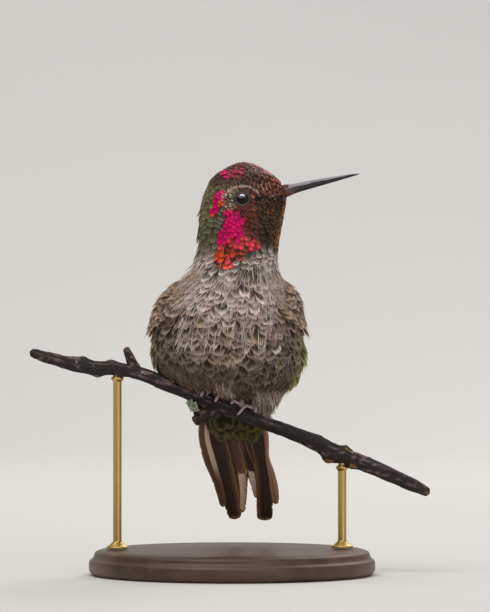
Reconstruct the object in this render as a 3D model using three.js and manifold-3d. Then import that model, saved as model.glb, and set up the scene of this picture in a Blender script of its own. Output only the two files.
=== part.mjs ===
// A life-size perched male hummingbird with its head turned to its left, on a short
// length of twig that a small display stand carries. Millimetres, +Z up. The breast
// faces -Y, the bird's left is +X, and the origin is the centre of the base's underside.

import * as THREE from "three";
import { mergeVertices } from "three/addons/utils/BufferGeometryUtils.js";
import Module from "manifold-3d";

const wasm = await Module();
wasm.setup();

// ---------------------------------------------------------------- driving dimensions

const GAP = 0.3; // clearance between pieces that meet
const FINE_GAP = 0.15; // clearance between the smallest pieces
const CAMBER = 0.06; // how far a feather's shaft stands above its edges, as a share of its thickness

// The plumage's outer shape, from the crown down to the undertail coverts. Each station
// is a level z with the section's middle (cx, cy), its reach to the bird's right, left,
// front and back, and its turn about z in degrees.
const STATIONS = [
  { z: 97.3, cx: 2.6, cy: -5.0, right: 0.0, left: 0.0, front: 0.0, back: 0.0, turn: -12 },
  { z: 94.3, cx: 2.0, cy: -5.0, right: 5.9, left: 7.6, front: 5.2, back: 5.2, turn: -12 },
  { z: 90.5, cx: 1.2, cy: -5.0, right: 7.5, left: 10.2, front: 6.9, back: 6.9, turn: -12 },
  { z: 86.5, cx: 0.8, cy: -5.0, right: 8.2, left: 11.7, front: 7.5, back: 7.5, turn: -12 },
  { z: 82.0, cx: 0.6, cy: -4.8, right: 8.4, left: 11.2, front: 7.8, back: 7.9, turn: -10 },
  { z: 77.5, cx: 0.7, cy: -4.5, right: 8.6, left: 10.2, front: 8.5, back: 8.6, turn: -5 },
  { z: 73.0, cx: 0.8, cy: -3.9, right: 10.2, left: 10.1, front: 9.9, back: 9.6, turn: 0 },
  { z: 68.5, cx: 0.2, cy: -3.2, right: 12.7, left: 12.2, front: 11.8, back: 11.2, turn: 0 },
  { z: 63.0, cx: -0.5, cy: -2.6, right: 15.6, left: 14.9, front: 13.6, back: 12.6, turn: 0 },
  { z: 57.0, cx: -0.9, cy: -1.8, right: 17.2, left: 16.8, front: 14.6, back: 13.2, turn: 0 },
  { z: 51.0, cx: -0.7, cy: -0.6, right: 17.7, left: 17.7, front: 14.0, back: 12.8, turn: 0 },
  { z: 46.0, cx: -0.2, cy: 1.2, right: 15.2, left: 15.4, front: 11.4, back: 11.4, turn: 0 },
  { z: 42.0, cx: 0.3, cy: 4.4, right: 10.2, left: 11.2, front: 7.0, back: 9.2, turn: 0 },
  { z: 37.5, cx: 0.6, cy: 8.6, right: 7.4, left: 8.2, front: 4.2, back: 6.4, turn: 0 },
  { z: 33.4, cx: 0.9, cy: 11.6, right: 6.4, left: 6.6, front: 2.7, back: 4.2, turn: 0 },
  { z: 31.4, cx: 1.2, cy: 12.8, right: 0.0, left: 0.0, front: 0.0, back: 0.0, turn: 0 },
];
const BODY_ACROSS = 28; // facets round the body
const BODY_UP = 29; // rings from crown to undertail

const HEAD_TURN = 12; // degrees short of a full profile
const NECK_TOP = { z: 79.3, tilt: 8 }; // where the head ends: level and tilt in degrees
const NECK_FOOT = { z: 70.6, tilt: 0 }; // where the trunk begins

// The swelling that carries the head out to the bill: its share of the head's reach, its level,
// and how far it spreads up and down and, in radians, round the head.
const MUZZLE = { share: 0.155, level: 90.4, height: 2.6, spread: 0.42 };

// The bill, in the plane that the head looks along. Distances are from the head's middle.
// `deep` is the depth of the upper half from the middle line at the base, `under` that of the
// lower half, `wide` the half-width, and `gape` how far below the line the halves part.
const BILL = {
  start: 8.6,
  baseLevel: 89.6,
  tipReach: 29.4,
  tipLevel: 94.3,
  bow: 0.375,
  deep: 1.35,
  under: 1.14,
  wide: 0.875,
  gape: 0.12,
};

const EYE = { radius: 2.05, forward: 2.9, aside: 5.3, level: 88.7 };

// The folded wings. `path` is the line of the outermost primary over the plumage, as places
// down the body and degrees round from the front; `close` is how many degrees further round
// the innermost one lies. The rest of the line runs over the back of the tail.
const WING = {
  thick: 0.6,
  lift: 0.75,
  layer: 0.17,
  width: 5.0,
  path: [
    { s: 0.545, degrees: 84, close: 12 },
    { s: 0.62, degrees: 101, close: 18 },
    { s: 0.69, degrees: 118, close: 18 },
    { s: 0.755, degrees: 132, close: 16 },
    { s: 0.82, degrees: 144, close: 13 },
    { s: 0.875, degrees: 151, close: 9 },
  ],
  overTail: [
    { z: 29.0, right: -3.2, left: 6.2, close: 1.4 },
    { z: 18.0, right: 0.2, left: 7.8, close: 0.8 },
  ],
};
// Length of each primary as a share of the outermost one's.
const PRIMARIES = [1, 0.91, 0.8, 0.67];
// The wrist and its coverts, and the greater coverts under them, as pads over the side of the
// breast: ends down the body, edges round it in degrees, and how proud each pad's middle and
// its lower hem stand.
const COVERTS = [
  { top: 0.44, foot: 0.607, front: 55, back: 150, thick: 2.8, hem: 2.1 },
  { top: 0.54, foot: 0.668, front: 84, back: 158, thick: 1.7, hem: 1.3 },
];
const SUNK = 1.2; // how far a pad's underside reaches into the body

// The tail lies in a plane that leans back. Each feather is drawn in that plane by the x and z
// of its root, its waist and its tip, from the middle pair outwards.
const TAIL = { y: 9.8, z: 37.6, lean: 31, layer: 0.42, thick: 0.55, arch: 0.6, back: 1.25 };
const RECTRICES = {
  right: [
    { root: [0.1, 40.5], waist: [0.7, 33.0], tip: [2.0, 22.6], width: 4.2 },
    { root: [-0.3, 40.3], waist: [-0.9, 33.0], tip: [2.2, 16.6], width: 4.3 },
    { root: [-0.9, 40.1], waist: [-2.6, 33.0], tip: [1.5, 12.6], width: 4.5 },
    { root: [-1.5, 39.9], waist: [-4.2, 33.0], tip: [0.9, 11.9], width: 4.5 },
    { root: [-2.2, 39.6], waist: [-6.4, 33.2], tip: [-1.6, 15.2], width: 3.4 },
  ],
  left: [
    { root: [1.1, 40.5], waist: [2.3, 33.0], tip: [4.6, 22.4], width: 4.2 },
    { root: [1.6, 40.3], waist: [3.7, 33.0], tip: [6.6, 16.2], width: 4.3 },
    { root: [2.2, 40.1], waist: [5.0, 33.0], tip: [7.9, 12.6], width: 4.4 },
    { root: [2.8, 39.9], waist: [6.1, 33.0], tip: [8.1, 11.7], width: 4.2 },
    { root: [3.4, 39.6], waist: [7.4, 33.2], tip: [10.3, 15.9], width: 3.3 },
  ],
};

// The twig's centreline and its radius at each point.
const TWIG = [
  { x: -47.6, y: -3.6, z: 52.7, r: 0.95 },
  { x: -43.2, y: -3.4, z: 51.2, r: 1.35 },
  { x: -37.8, y: -3.2, z: 49.9, r: 1.6 },
  { x: -32.4, y: -3.0, z: 48.9, r: 1.65 },
  { x: -27.0, y: -2.8, z: 48.7, r: 1.5 },
  { x: -21.6, y: -2.6, z: 47.5, r: 1.6 },
  { x: -16.2, y: -2.4, z: 45.4, r: 1.7 },
  { x: -10.8, y: -2.2, z: 43.3, r: 1.65 },
  { x: -5.4, y: -2.0, z: 41.0, r: 1.6 },
  { x: 0.0, y: -2.0, z: 38.6, r: 1.55 },
  { x: 5.0, y: -1.8, z: 36.9, r: 1.55 },
  { x: 9.8, y: -1.5, z: 35.1, r: 1.6 },
  { x: 14.6, y: -1.1, z: 33.3, r: 1.7 },
  { x: 19.2, y: -0.6, z: 31.4, r: 1.8 },
  { x: 24.0, y: -0.1, z: 28.9, r: 1.95 },
  { x: 28.8, y: 0.5, z: 27.1, r: 1.95 },
  { x: 33.4, y: 1.1, z: 25.3, r: 1.85 },
  { x: 38.2, y: 1.8, z: 23.1, r: 1.7 },
  { x: 43.0, y: 2.6, z: 20.9, r: 1.45 },
  { x: 46.8, y: 3.2, z: 19.1, r: 1.0 },
];
const TWIG_SIDES = 8;
const TWIG_STEPS = 42;
// Swellings on the twig: place along it (0 to 1), direction round it in degrees from the
// top towards the front, height, and how far each spreads along and round.
const KNOTS = [
  { at: 0.13, round: -30, high: 0.75, along: 0.013, wide: 50 },
  { at: 0.165, round: 160, high: 0.7, along: 0.014, wide: 55 },
  { at: 0.195, round: 20, high: 0.55, along: 0.012, wide: 60 },
  { at: 0.215, round: 175, high: 0.75, along: 0.014, wide: 45 },
  { at: 0.7, round: 10, high: 0.5, along: 0.013, wide: 60 },
  { at: 0.745, round: 170, high: 1.15, along: 0.016, wide: 55 },
  { at: 0.775, round: -20, high: 0.65, along: 0.014, wide: 60 },
  { at: 0.8, round: 120, high: 0.6, along: 0.012, wide: 60 },
];
// Broken side shoots: root and tip on and off the twig, with a radius at each end.
const STUBS = [
  { root: [-23.0, -2.6, 48.6], tip: [-24.9, -2.9, 53.4], thick: 1.35, thin: 0.85 },
  { root: [-3.6, -2.4, 39.2], tip: [-8.8, -2.9, 36.2], thick: 1.75, thin: 1.25 },
];

// Feet: where each grips along x, and how far its toes turn round the twig.
const FEET = { right: -5.9, left: 1.5 };
const TOE = { thick: 0.4, claw: 0.26, spread: 1.25, reach: 118, shorter: 14, hind: -105, bends: 5 };
const SHANK = { thick: 0.55, ball: 0.72, rise: 4.4, back: 2.6 };

const BASE = { radius: 34, height: 6, bevel: 0.8, sides: 30 };
const ROD = { radius: 1.0, collar: 2.6, collarHeight: 1.2 };
const ROD_PLACES = { right: -27.0, left: 26.0 };

// ---------------------------------------------------------------- small helpers

const radians = THREE.MathUtils.degToRad;
const lerp = THREE.MathUtils.lerp;
const vec = (x, y, z) => new THREE.Vector3(x, y, z);

/** Catmull-Rom value through four numbers. */
function spline(a, b, c, d, t) {
  const slopeIn = (c - a) / 2;
  const slopeOut = (d - b) / 2;
  const t2 = t * t;
  const t3 = t2 * t;
  return (
    (2 * t3 - 3 * t2 + 1) * b + (t3 - 2 * t2 + t) * slopeIn + (3 * t2 - 2 * t3) * c + (t3 - t2) * slopeOut
  );
}

/** A closed three.js geometry as a manifold-3d solid. */
function solid(geometry) {
  const bare = geometry.clone();
  bare.deleteAttribute("normal");
  bare.deleteAttribute("uv");
  const merged = mergeVertices(bare, 1e-4);
  const mesh = new wasm.Mesh({
    numProp: 3,
    vertProperties: merged.attributes.position.array,
    triVerts: new Uint32Array(merged.index.array),
  });
  const made = new wasm.Manifold(mesh);
  return made.volume() < 0 ? inverted(merged) : made;
}

/** The same, for a geometry whose mapping has turned its faces inwards. */
function inverted(merged) {
  const faces = new Uint32Array(merged.index.array);
  for (let i = 0; i < faces.length; i += 3) [faces[i], faces[i + 1]] = [faces[i + 1], faces[i]];
  const vertProperties = merged.attributes.position.array;
  return new wasm.Manifold(new wasm.Mesh({ numProp: 3, vertProperties, triVerts: faces }));
}

/** Moves every vertex of a geometry by a function of its place. */
function bend(geometry, place) {
  const position = geometry.attributes.position;
  const from = vec(0, 0, 0);
  for (let i = 0; i < position.count; i += 1) {
    from.fromBufferAttribute(position, i);
    const to = place(from);
    position.setXYZ(i, to.x, to.y, to.z);
  }
  return geometry;
}

/** A solid back as a three.js mesh with its own material. */
function piece(name, made, colour, roughness, metalness = 0) {
  const mesh = made.getMesh();
  const corners = new Float32Array(mesh.numVert * 3);
  for (let i = 0; i < mesh.numVert; i += 1) {
    const start = i * mesh.numProp;
    corners.set(mesh.vertProperties.subarray(start, start + 3), i * 3);
  }
  const geometry = new THREE.BufferGeometry();
  geometry.setAttribute("position", new THREE.BufferAttribute(corners, 3));
  geometry.setIndex(new THREE.BufferAttribute(new Uint32Array(mesh.triVerts), 1));
  geometry.computeVertexNormals();
  const material = new THREE.MeshStandardMaterial({ color: colour, roughness, metalness });
  const shown = new THREE.Mesh(geometry, material);
  shown.name = name;
  return shown;
}

/** The largest of a solid's separate bodies, so that slivers left by a cut go. */
function largest(made) {
  const bodies = made.decompose();
  return bodies.reduce((best, next) => (next.volume() > best.volume() ? next : best));
}

/** A round bar along a curve; `radius` is a function of the place along it. */
function bar(curve, radius, sides, steps) {
  const frames = curve.computeFrenetFrames(steps, false);
  const round = new THREE.CylinderGeometry(1, 1, 1, sides, steps);
  return solid(
    bend(round, (p) => {
      const t = p.y + 0.5;
      const k = Math.min(steps, Math.round(t * steps));
      const angle = Math.atan2(p.x, p.z);
      const reach = Math.hypot(p.x, p.z) * radius(t);
      const across = frames.normals[k].clone().multiplyScalar(Math.cos(angle) * reach);
      const over = frames.binormals[k].clone().multiplyScalar(Math.sin(angle) * reach);
      return curve.getPointAt(t).add(across).add(over);
    }),
  );
}

/** A thin blade: `centre`, `across` and `normal` are functions of the place along it. */
function blade({ centre, across, normal, width, thick, steps }) {
  const slab = new THREE.BoxGeometry(1, 1, 1, 2, steps, 1);
  return solid(
    bend(slab, (p) => {
      const t = p.y + 0.5;
      const side = across(t).multiplyScalar(p.x * width(t));
      const lift = normal(t).multiplyScalar((p.z + CAMBER * (1 - 4 * p.x * p.x)) * thick);
      return centre(t).add(side).add(lift);
    }),
  );
}

/** Joins a list of solids into one. */
const joined = (list) => list.reduce((all, next) => all.add(next));

// ---------------------------------------------------------------- the body's surface

const KEYS = ["z", "cx", "cy", "right", "left", "front", "back", "turn"];

/** The section at s, from 0 at the crown to 1 at the undertail. */
function sectionAt(s) {
  const last = STATIONS.length - 1;
  const place = THREE.MathUtils.clamp(s, 0, 1) * last;
  const i = Math.min(last - 1, Math.floor(place));
  const section = {};
  for (const key of KEYS) {
    // Past either pole the level and middle repeat and the reaches turn negative.
    const sign = ["right", "left", "front", "back"].includes(key) ? -1 : 1;
    const before = i > 0 ? STATIONS[i - 1][key] : sign * STATIONS[1][key];
    const after = i + 2 <= last ? STATIONS[i + 2][key] : sign * STATIONS[last - 1][key];
    section[key] = spline(before, STATIONS[i][key], STATIONS[i + 1][key], after, place - i);
  }
  return section;
}

/** A point of the plumage: s down the body, angle from the front towards the left. */
function plumage(s, angle, offset = 0) {
  const section = sectionAt(s);
  const aside = Math.sin(angle);
  const ahead = -Math.cos(angle);
  const outward = Math.min(1, 6 * Math.sin(Math.PI * s)); // share of the offset that goes sideways
  const x = aside * (Math.max(0, aside > 0 ? section.left : section.right) + offset * outward);
  const y = ahead * (Math.max(0, ahead < 0 ? section.front : section.back) + offset * outward);
  const turn = radians(section.turn);
  const fromBill = (Math.atan2(y, x) % (2 * Math.PI)) / MUZZLE.spread;
  const fromLevel = (section.z - MUZZLE.level) / MUZZLE.height;
  const swell = 1 + MUZZLE.share * Math.exp(-fromBill * fromBill - fromLevel * fromLevel);
  return vec(
    section.cx + swell * (x * Math.cos(turn) - y * Math.sin(turn)),
    section.cy + swell * (x * Math.sin(turn) + y * Math.cos(turn)),
    section.z + (s < 0.5 ? 1 : -1) * offset * (1 - outward),
  );
}

/** The whole bird without wings, tail, bill and legs, grown by an offset. */
function wholeBody(offset = 0) {
  const ball = new THREE.SphereGeometry(1, BODY_ACROSS, BODY_UP);
  return solid(
    bend(ball, (p) => {
      const s = Math.acos(THREE.MathUtils.clamp(p.y, -1, 1)) / Math.PI;
      return plumage(s, Math.atan2(p.x, -p.z), offset);
    }),
  );
}

/** A block above or below a tilted level, for cutting the body across. */
function half(level, side, gap) {
  const reach = 200;
  const block = new THREE.BoxGeometry(reach, reach, reach);
  block.translate(0, 0, (side * (reach + gap)) / 2);
  block.rotateY(radians(-level.tilt));
  block.translate(0, 0, level.z);
  return solid(block);
}

// ---------------------------------------------------------------- head

const headMiddle = { x: 1.0, y: -5.0 };
const heading = vec(Math.cos(radians(HEAD_TURN)), -Math.sin(radians(HEAD_TURN)), 0);
const toRight = vec(heading.y, -heading.x, 0);

/** A place in the head: ahead along the bill, aside towards the bird's right, and level. */
function inHead(ahead, aside, level) {
  return vec(headMiddle.x, headMiddle.y, level)
    .add(heading.clone().multiplyScalar(ahead))
    .add(toRight.clone().multiplyScalar(aside));
}

const eyeball = (side, extra = 0) => {
  const at = inHead(EYE.forward, side * EYE.aside, EYE.level);
  return solid(new THREE.SphereGeometry(EYE.radius + extra, 12, 8).translate(at.x, at.y, at.z));
};

/** The bill's middle line: almost straight, bowed up a little in the middle. */
function billLine(t) {
  const level = lerp(BILL.baseLevel, BILL.tipLevel, t) + 4 * BILL.bow * t * (1 - t);
  return inHead(lerp(BILL.start, BILL.tipReach, t), 0, level);
}

/** Share of the bill's depth and width left at t, from the base to the point. */
const billTaper = (t) => 0.2 + 0.8 * Math.pow(1 - t, 0.62) - 0.1 * Math.sin(Math.PI * t);

/** The stretch of bill from one share of its length to another, as a tapering bar. */
function billBar(from, to, deep, extra, sides) {
  const bar = new THREE.CylinderGeometry(1, 1, 1, sides, 8);
  return solid(
    bend(bar, (p) => {
      const t = lerp(from, to, p.y + 0.5);
      const share = billTaper(Math.max(0, t));
      return billLine(t)
        .add(toRight.clone().multiplyScalar(p.x * (share * BILL.wide + extra)))
        .add(vec(0, 0, p.z * (share * deep + extra)));
    }),
  );
}

/** One half of the bill: upper for side 1, lower for side -1, less the gape line. */
function billHalf(side) {
  const slab = new THREE.BoxGeometry(1, 1, 1, 1, 8, 1);
  const keep = bend(slab, (p) => {
    const away = p.z * side + 0.5;
    return billLine(p.y + 0.5)
      .add(toRight.clone().multiplyScalar(p.x * 8 * BILL.wide))
      .add(vec(0, 0, side * (FINE_GAP / 2 + away * 4 * BILL.deep) - BILL.gape));
  });
  return billBar(0, 1, side > 0 ? BILL.deep : BILL.under, 0, 10).intersect(solid(keep));
}

// ---------------------------------------------------------------- tail

const tailDown = vec(0, Math.sin(radians(TAIL.lean)), -Math.cos(radians(TAIL.lean)));
const tailFace = vec(0, -Math.cos(radians(TAIL.lean)), -Math.sin(radians(TAIL.lean)));

/** The point of the tail's plane at x and z, raised off it towards the front. */
function inTail(x, z, raised = 0) {
  const y = TAIL.y + (TAIL.z - z) * Math.tan(radians(TAIL.lean));
  return vec(x, y, z).addScaledVector(tailFace, raised);
}

/** One tail feather; `layer` counts from the middle pair at 0 to the outermost at 4. */
function rectrix({ root, waist, tip, width }, layer) {
  const raised = (layer - 2) * TAIL.layer;
  const line = new THREE.CatmullRomCurve3([root, waist, tip].map(([x, z]) => inTail(x, z, raised)));
  return blade({
    centre: (t) => line.getPointAt(t).addScaledVector(tailFace, TAIL.arch * Math.sin(Math.PI * t)),
    across: (t) => line.getTangentAt(t).cross(tailFace).normalize(),
    normal: () => tailFace.clone(),
    width: (t) => width * Math.min(1, 0.5 + 1.4 * t) * Math.sqrt(Math.max(0.5, 1 - Math.pow(t, 12))),
    thick: TAIL.thick,
    steps: 5,
  });
}

// ---------------------------------------------------------------- wings

/** The outward direction of the plumage at a place. */
function plumageNormal(s, angle) {
  const step = 0.01;
  const down = plumage(s + step, angle).sub(plumage(s - step, angle));
  const round = plumage(s, angle + step).sub(plumage(s, angle - step));
  return down.cross(round).normalize();
}

/** The curve of primary k over the body and the tail, with the outward direction along it. */
function primaryLine(side, k) {
  const inward = k / (PRIMARIES.length - 1);
  const points = [];
  const normals = [];
  for (const { s, degrees, close } of WING.path) {
    const angle = side * radians(degrees + close * inward);
    points.push(plumage(s, angle, WING.lift + WING.layer * k));
    normals.push(plumageNormal(s, angle));
  }
  for (const place of WING.overTail) {
    const x = (side > 0 ? place.left : place.right) - side * place.close * inward;
    points.push(inTail(x, place.z, -(TAIL.back + WING.thick + WING.layer * k)));
    normals.push(tailFace.clone().negate());
  }
  const line = new THREE.CatmullRomCurve3(points, false, "centripetal");
  const facing = new THREE.CatmullRomCurve3(normals);
  return { line, outward: (t) => facing.getPoint(line.getUtoTmapping(t)).normalize() };
}

/** One primary as a curved blade that lies against the back. */
function primary(side, k) {
  const { line, outward } = primaryLine(side, k);
  const share = PRIMARIES[k];
  return blade({
    centre: (t) => line.getPointAt(t * share),
    across: (t) => line.getTangentAt(t * share).cross(outward(t * share)).normalize(),
    normal: (t) => outward(t * share),
    width: (t) => WING.width * Math.sqrt(Math.max(0.03, 1 - Math.pow(t, 3.4))) * Math.min(1, 0.75 + 0.6 * t),
    thick: WING.thick,
    steps: 6,
  });
}

/** The wing's coverts: overlapping pads over the side of the breast, each ending in a hem. */
function covertPads(side, extra = 0) {
  const pads = COVERTS.map(({ top, foot, front, back, thick, hem }) => {
    const middle = radians((front + back) / 2);
    const spread = radians((back - front) / 2) * (1 + 0.06 * extra);
    const level = (top + foot) / 2;
    const drop = ((foot - top) / 2) * (1 + 0.08 * extra);
    const ball = new THREE.SphereGeometry(1, 14, 8);
    return solid(
      bend(ball, (p) => {
        const edge = hem * THREE.MathUtils.smoothstep(-p.y, 0.1, 0.9);
        const proud = p.z > 0 ? thick + extra - edge : -(SUNK + extra + edge);
        return plumage(level - p.y * drop, side * (middle + p.x * spread), edge + proud * p.z * p.z);
      }),
    );
  });
  return joined(pads);
}

// ---------------------------------------------------------------- perch and feet

const twigLine = new THREE.CatmullRomCurve3(
  TWIG.map((p) => vec(p.x, p.y, p.z)),
  false,
  "centripetal",
);

/** The twig's radius at t, without its knots. */
function twigRadius(t) {
  const place = t * (TWIG.length - 1);
  const i = Math.min(TWIG.length - 2, Math.floor(place));
  return lerp(TWIG[i].r, TWIG[i + 1].r, place - i);
}

/** The place along the twig that lies at x. */
function twigPlaceAt(x) {
  let low = 0;
  let high = 1;
  for (let i = 0; i < 40; i += 1) {
    const middle = (low + high) / 2;
    if (twigLine.getPointAt(middle).x < x) low = middle;
    else high = middle;
  }
  return (low + high) / 2;
}

/** Directions across the twig at t: up, and towards the front. */
function twigAxes(t) {
  const along = twigLine.getTangentAt(t);
  const front = vec(0, -1, 0).addScaledVector(along, along.y).normalize();
  return { along, front, up: front.clone().cross(along).negate().normalize() };
}

/** The bare twig, grown by an offset, with its knots and broken side shoots. */
function twigSolid(offset) {
  const round = new THREE.CylinderGeometry(1, 1, 1, TWIG_SIDES, TWIG_STEPS);
  const stem = solid(
    bend(round, (p) => {
      const t = p.y + 0.5;
      const { front, up } = twigAxes(t);
      const angle = Math.atan2(p.x, p.z);
      let reach = twigRadius(t) + offset;
      for (const knot of KNOTS) {
        const along = (t - knot.at) / knot.along;
        const apart = Math.atan2(Math.sin(angle - radians(knot.round)), Math.cos(angle - radians(knot.round)));
        const round = apart / radians(knot.wide);
        reach += knot.high * Math.exp(-along * along - round * round);
      }
      reach *= Math.hypot(p.x, p.z);
      return twigLine
        .getPointAt(t)
        .addScaledVector(up, Math.cos(angle) * reach)
        .addScaledVector(front, Math.sin(angle) * reach);
    }),
  );
  const shoots = STUBS.map(({ root, tip, thick, thin }) => {
    const line = new THREE.LineCurve3(vec(...root), vec(...tip));
    return bar(line, (t) => lerp(thick, thin, t) + offset, 8, 2);
  });
  return joined([stem, ...shoots]);
}

/** One toe and its claw, curled round the twig at x from the top to `reach` degrees. */
function toe(x, reach) {
  const away = TOE.thick + FINE_GAP;
  const turns = [];
  for (let k = 0; k <= 8; k += 1) {
    const t = twigPlaceAt(x);
    const { front, up } = twigAxes(t);
    const angle = radians(lerp(-8 * Math.sign(reach), reach, k / 8));
    const out = twigRadius(t) + away + 0.3 * Math.sin((Math.PI * k) / 8);
    turns.push(
      twigLine
        .getPointAt(t)
        .addScaledVector(up, Math.cos(angle) * out)
        .addScaledVector(front, Math.sin(angle) * out),
    );
  }
  const curve = new THREE.CatmullRomCurve3(turns, false, "centripetal");
  const thickness = (t) => (t < 0.78 ? TOE.thick : lerp(TOE.thick, TOE.claw, (t - 0.78) / 0.22));
  return bar(curve, thickness, 5, TOE.bends);
}

/** A foot: three toes forward, one back, and the shank up into the belly. */
function foot(x) {
  const t = twigPlaceAt(x);
  const { front, up } = twigAxes(t);
  const top = twigLine.getPointAt(t).addScaledVector(up, twigRadius(t) + TOE.thick + 0.35);
  const hip = top.clone().add(vec(0, SHANK.back, SHANK.rise));
  const shank = bar(new THREE.LineCurve3(top, hip), () => SHANK.thick, 6, 1);
  const ball = solid(new THREE.SphereGeometry(SHANK.ball, 6, 5).translate(top.x, top.y, top.z));
  const webs = [-1, 0, 1].map((k) => {
    const end = twigLine
      .getPointAt(twigPlaceAt(x + k * TOE.spread))
      .addScaledVector(up, twigRadius(t) + TOE.thick + FINE_GAP)
      .addScaledVector(front, 0.25);
    return bar(new THREE.LineCurve3(top, end), () => TOE.thick, 5, 1);
  });
  const forward = [-1, 0, 1].map((k) => toe(x + k * TOE.spread, TOE.reach - TOE.shorter * Math.abs(k)));
  return joined([shank, ball, ...webs, ...forward, toe(x, TOE.hind)]);
}

// ---------------------------------------------------------------- stand

/** The turned base: a disc with bevelled edges. */
function baseDisc() {
  const { radius, height, bevel } = BASE;
  const profile = [
    [0, 0],
    [radius - bevel, 0],
    [radius, bevel],
    [radius, height - 2 * bevel],
    [radius - 0.6 * bevel, height - 0.6 * bevel],
    [radius - 2 * bevel, height],
    [0, height],
  ];
  const turned = new THREE.LatheGeometry(
    profile.map(([r, y]) => new THREE.Vector2(r, y)),
    BASE.sides,
  );
  return solid(turned.rotateX(Math.PI / 2));
}

/** A rod with a collar at its foot, from the base up to the twig's underside. */
function rod(x) {
  const t = twigPlaceAt(x);
  const under = twigLine.getPointAt(t);
  const foot = BASE.height + GAP;
  const head = under.z + 0.5;
  const round = new THREE.CylinderGeometry(ROD.radius, ROD.radius, head - foot, 14);
  const collar = new THREE.CylinderGeometry(ROD.radius * 1.5, ROD.collar, ROD.collarHeight, 18);
  const upright = solid(round.rotateX(Math.PI / 2).translate(x, under.y, (foot + head) / 2));
  const flange = solid(collar.rotateX(Math.PI / 2).translate(x, under.y, foot + ROD.collarHeight / 2));
  return upright.add(flange);
}

// ---------------------------------------------------------------- assembly

const hummingbird = new THREE.Group();
const add = (...details) => hummingbird.add(piece(...details));

const body = wholeBody();
const bodyRoom = wholeBody(GAP);
const sockets = joined([eyeball(1, FINE_GAP), eyeball(-1, FINE_GAP)]);
const bills = { upper: billHalf(1), lower: billHalf(-1) };
const billSocket = billBar(-0.02, 0.38, BILL.deep, FINE_GAP, 12);
const twig = twigSolid(0);
const twigRoom = twigSolid(GAP);
const footRoom = { right: foot(FEET.right), left: foot(FEET.left) };

const head = body.intersect(half(NECK_TOP, 1, GAP)).subtract(sockets).subtract(billSocket);
const neck = body.intersect(half(NECK_TOP, -1, GAP)).intersect(half(NECK_FOOT, 1, GAP));
const trunk = body.intersect(half(NECK_FOOT, -1, GAP)).subtract(twigRoom);
add("head", largest(head), 0x5b3a31, 0.55);
add("neck", largest(neck), 0xa39a90, 0.8);
add("trunk", largest(trunk), 0x8b8375, 0.8);

add("bill_upper", bills.upper, 0x3a3536, 0.4);
add("bill_lower", bills.lower, 0x35302f, 0.4);
add("eye_right", eyeball(1), 0x0a0a0c, 0.08);
add("eye_left", eyeball(-1), 0x0a0a0c, 0.08);

for (const [name, side] of [
  ["right", -1],
  ["left", 1],
]) {
  const pad = covertPads(side).subtract(bodyRoom);
  const feathers = PRIMARIES.map((_, k) => primary(side, k));
  const folded = joined(feathers).subtract(bodyRoom).subtract(covertPads(side, GAP));
  add(`wing_coverts_${name}`, largest(pad), 0x8d7c63, 0.75);
  add(`wing_primaries_${name}`, largest(folded), 0x4a4642, 0.6);
}

const rectrices = [...RECTRICES.right.map(rectrix), ...RECTRICES.left.map(rectrix)];
add("tail", largest(joined(rectrices).subtract(bodyRoom)), 0x3c332b, 0.6);

add("leg_right", largest(footRoom.right.subtract(bodyRoom).subtract(twig)), 0x8c7f80, 0.6);
add("leg_left", largest(footRoom.left.subtract(bodyRoom).subtract(twig)), 0x8c7f80, 0.6);

add("perch_twig", twig, 0x4c3f3d, 0.9);
add("stand_base", baseDisc(), 0x4a2f1f, 0.45);
add("stand_rod_right", rod(ROD_PLACES.right).subtract(twigRoom), 0xb08d4c, 0.3, 1);
add("stand_rod_left", rod(ROD_PLACES.left).subtract(twigRoom), 0xb08d4c, 0.3, 1);

export default hummingbird;
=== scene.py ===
# A perched male hummingbird on a cut twig, with its display stand and a plain studio.
# Lengths inside the numpy code are millimetres; meshes are written in metres.

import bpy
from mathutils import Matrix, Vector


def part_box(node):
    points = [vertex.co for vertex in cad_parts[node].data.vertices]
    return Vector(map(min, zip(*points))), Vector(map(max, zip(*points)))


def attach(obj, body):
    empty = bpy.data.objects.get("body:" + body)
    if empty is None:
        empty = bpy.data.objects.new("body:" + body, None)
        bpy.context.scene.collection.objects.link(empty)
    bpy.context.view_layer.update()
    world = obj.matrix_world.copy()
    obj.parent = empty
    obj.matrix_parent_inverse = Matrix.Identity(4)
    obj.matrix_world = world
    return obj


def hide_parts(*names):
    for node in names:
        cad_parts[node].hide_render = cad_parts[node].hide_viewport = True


bl_info = {
    "name": "Perched Hummingbird",
    "version": (1, 0, 0),
    "blender": (4, 5, 0),
    "location": "3D View > Sidebar > Hummingbird",
    "description": "Feathers, bill, feet, perch, stand and studio of a perched hummingbird",
    "category": "Object",
}

import math

import bpy
import numpy as np
from bpy.props import FloatProperty, FloatVectorProperty, IntProperty, PointerProperty
from mathutils import Vector

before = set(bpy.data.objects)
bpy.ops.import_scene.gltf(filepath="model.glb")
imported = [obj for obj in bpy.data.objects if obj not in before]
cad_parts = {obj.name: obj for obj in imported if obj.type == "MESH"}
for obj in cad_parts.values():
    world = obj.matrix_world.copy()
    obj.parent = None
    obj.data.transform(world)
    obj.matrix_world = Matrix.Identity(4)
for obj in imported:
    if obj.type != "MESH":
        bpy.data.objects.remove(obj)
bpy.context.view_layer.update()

MM = 0.001
BASE_LOW, BASE_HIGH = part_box("stand_base")


def tone(red, green, blue):
    """An 8-bit display colour as linear light."""
    share = np.array([red, green, blue]) / 255.0
    light = np.where(share <= 0.04045, share / 12.92, ((share + 0.055) / 1.055) ** 2.4)
    return tuple(float(part) for part in light)


def darker(rgb, share):
    """A colour in linear light times a share."""
    return tuple(part * share for part in rgb)


# ------------------------------------------------------------------ settings


def length(name, description, default):
    """A length in millimetres."""
    return FloatProperty(name=name, description=description, default=default, min=0.0)


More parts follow.
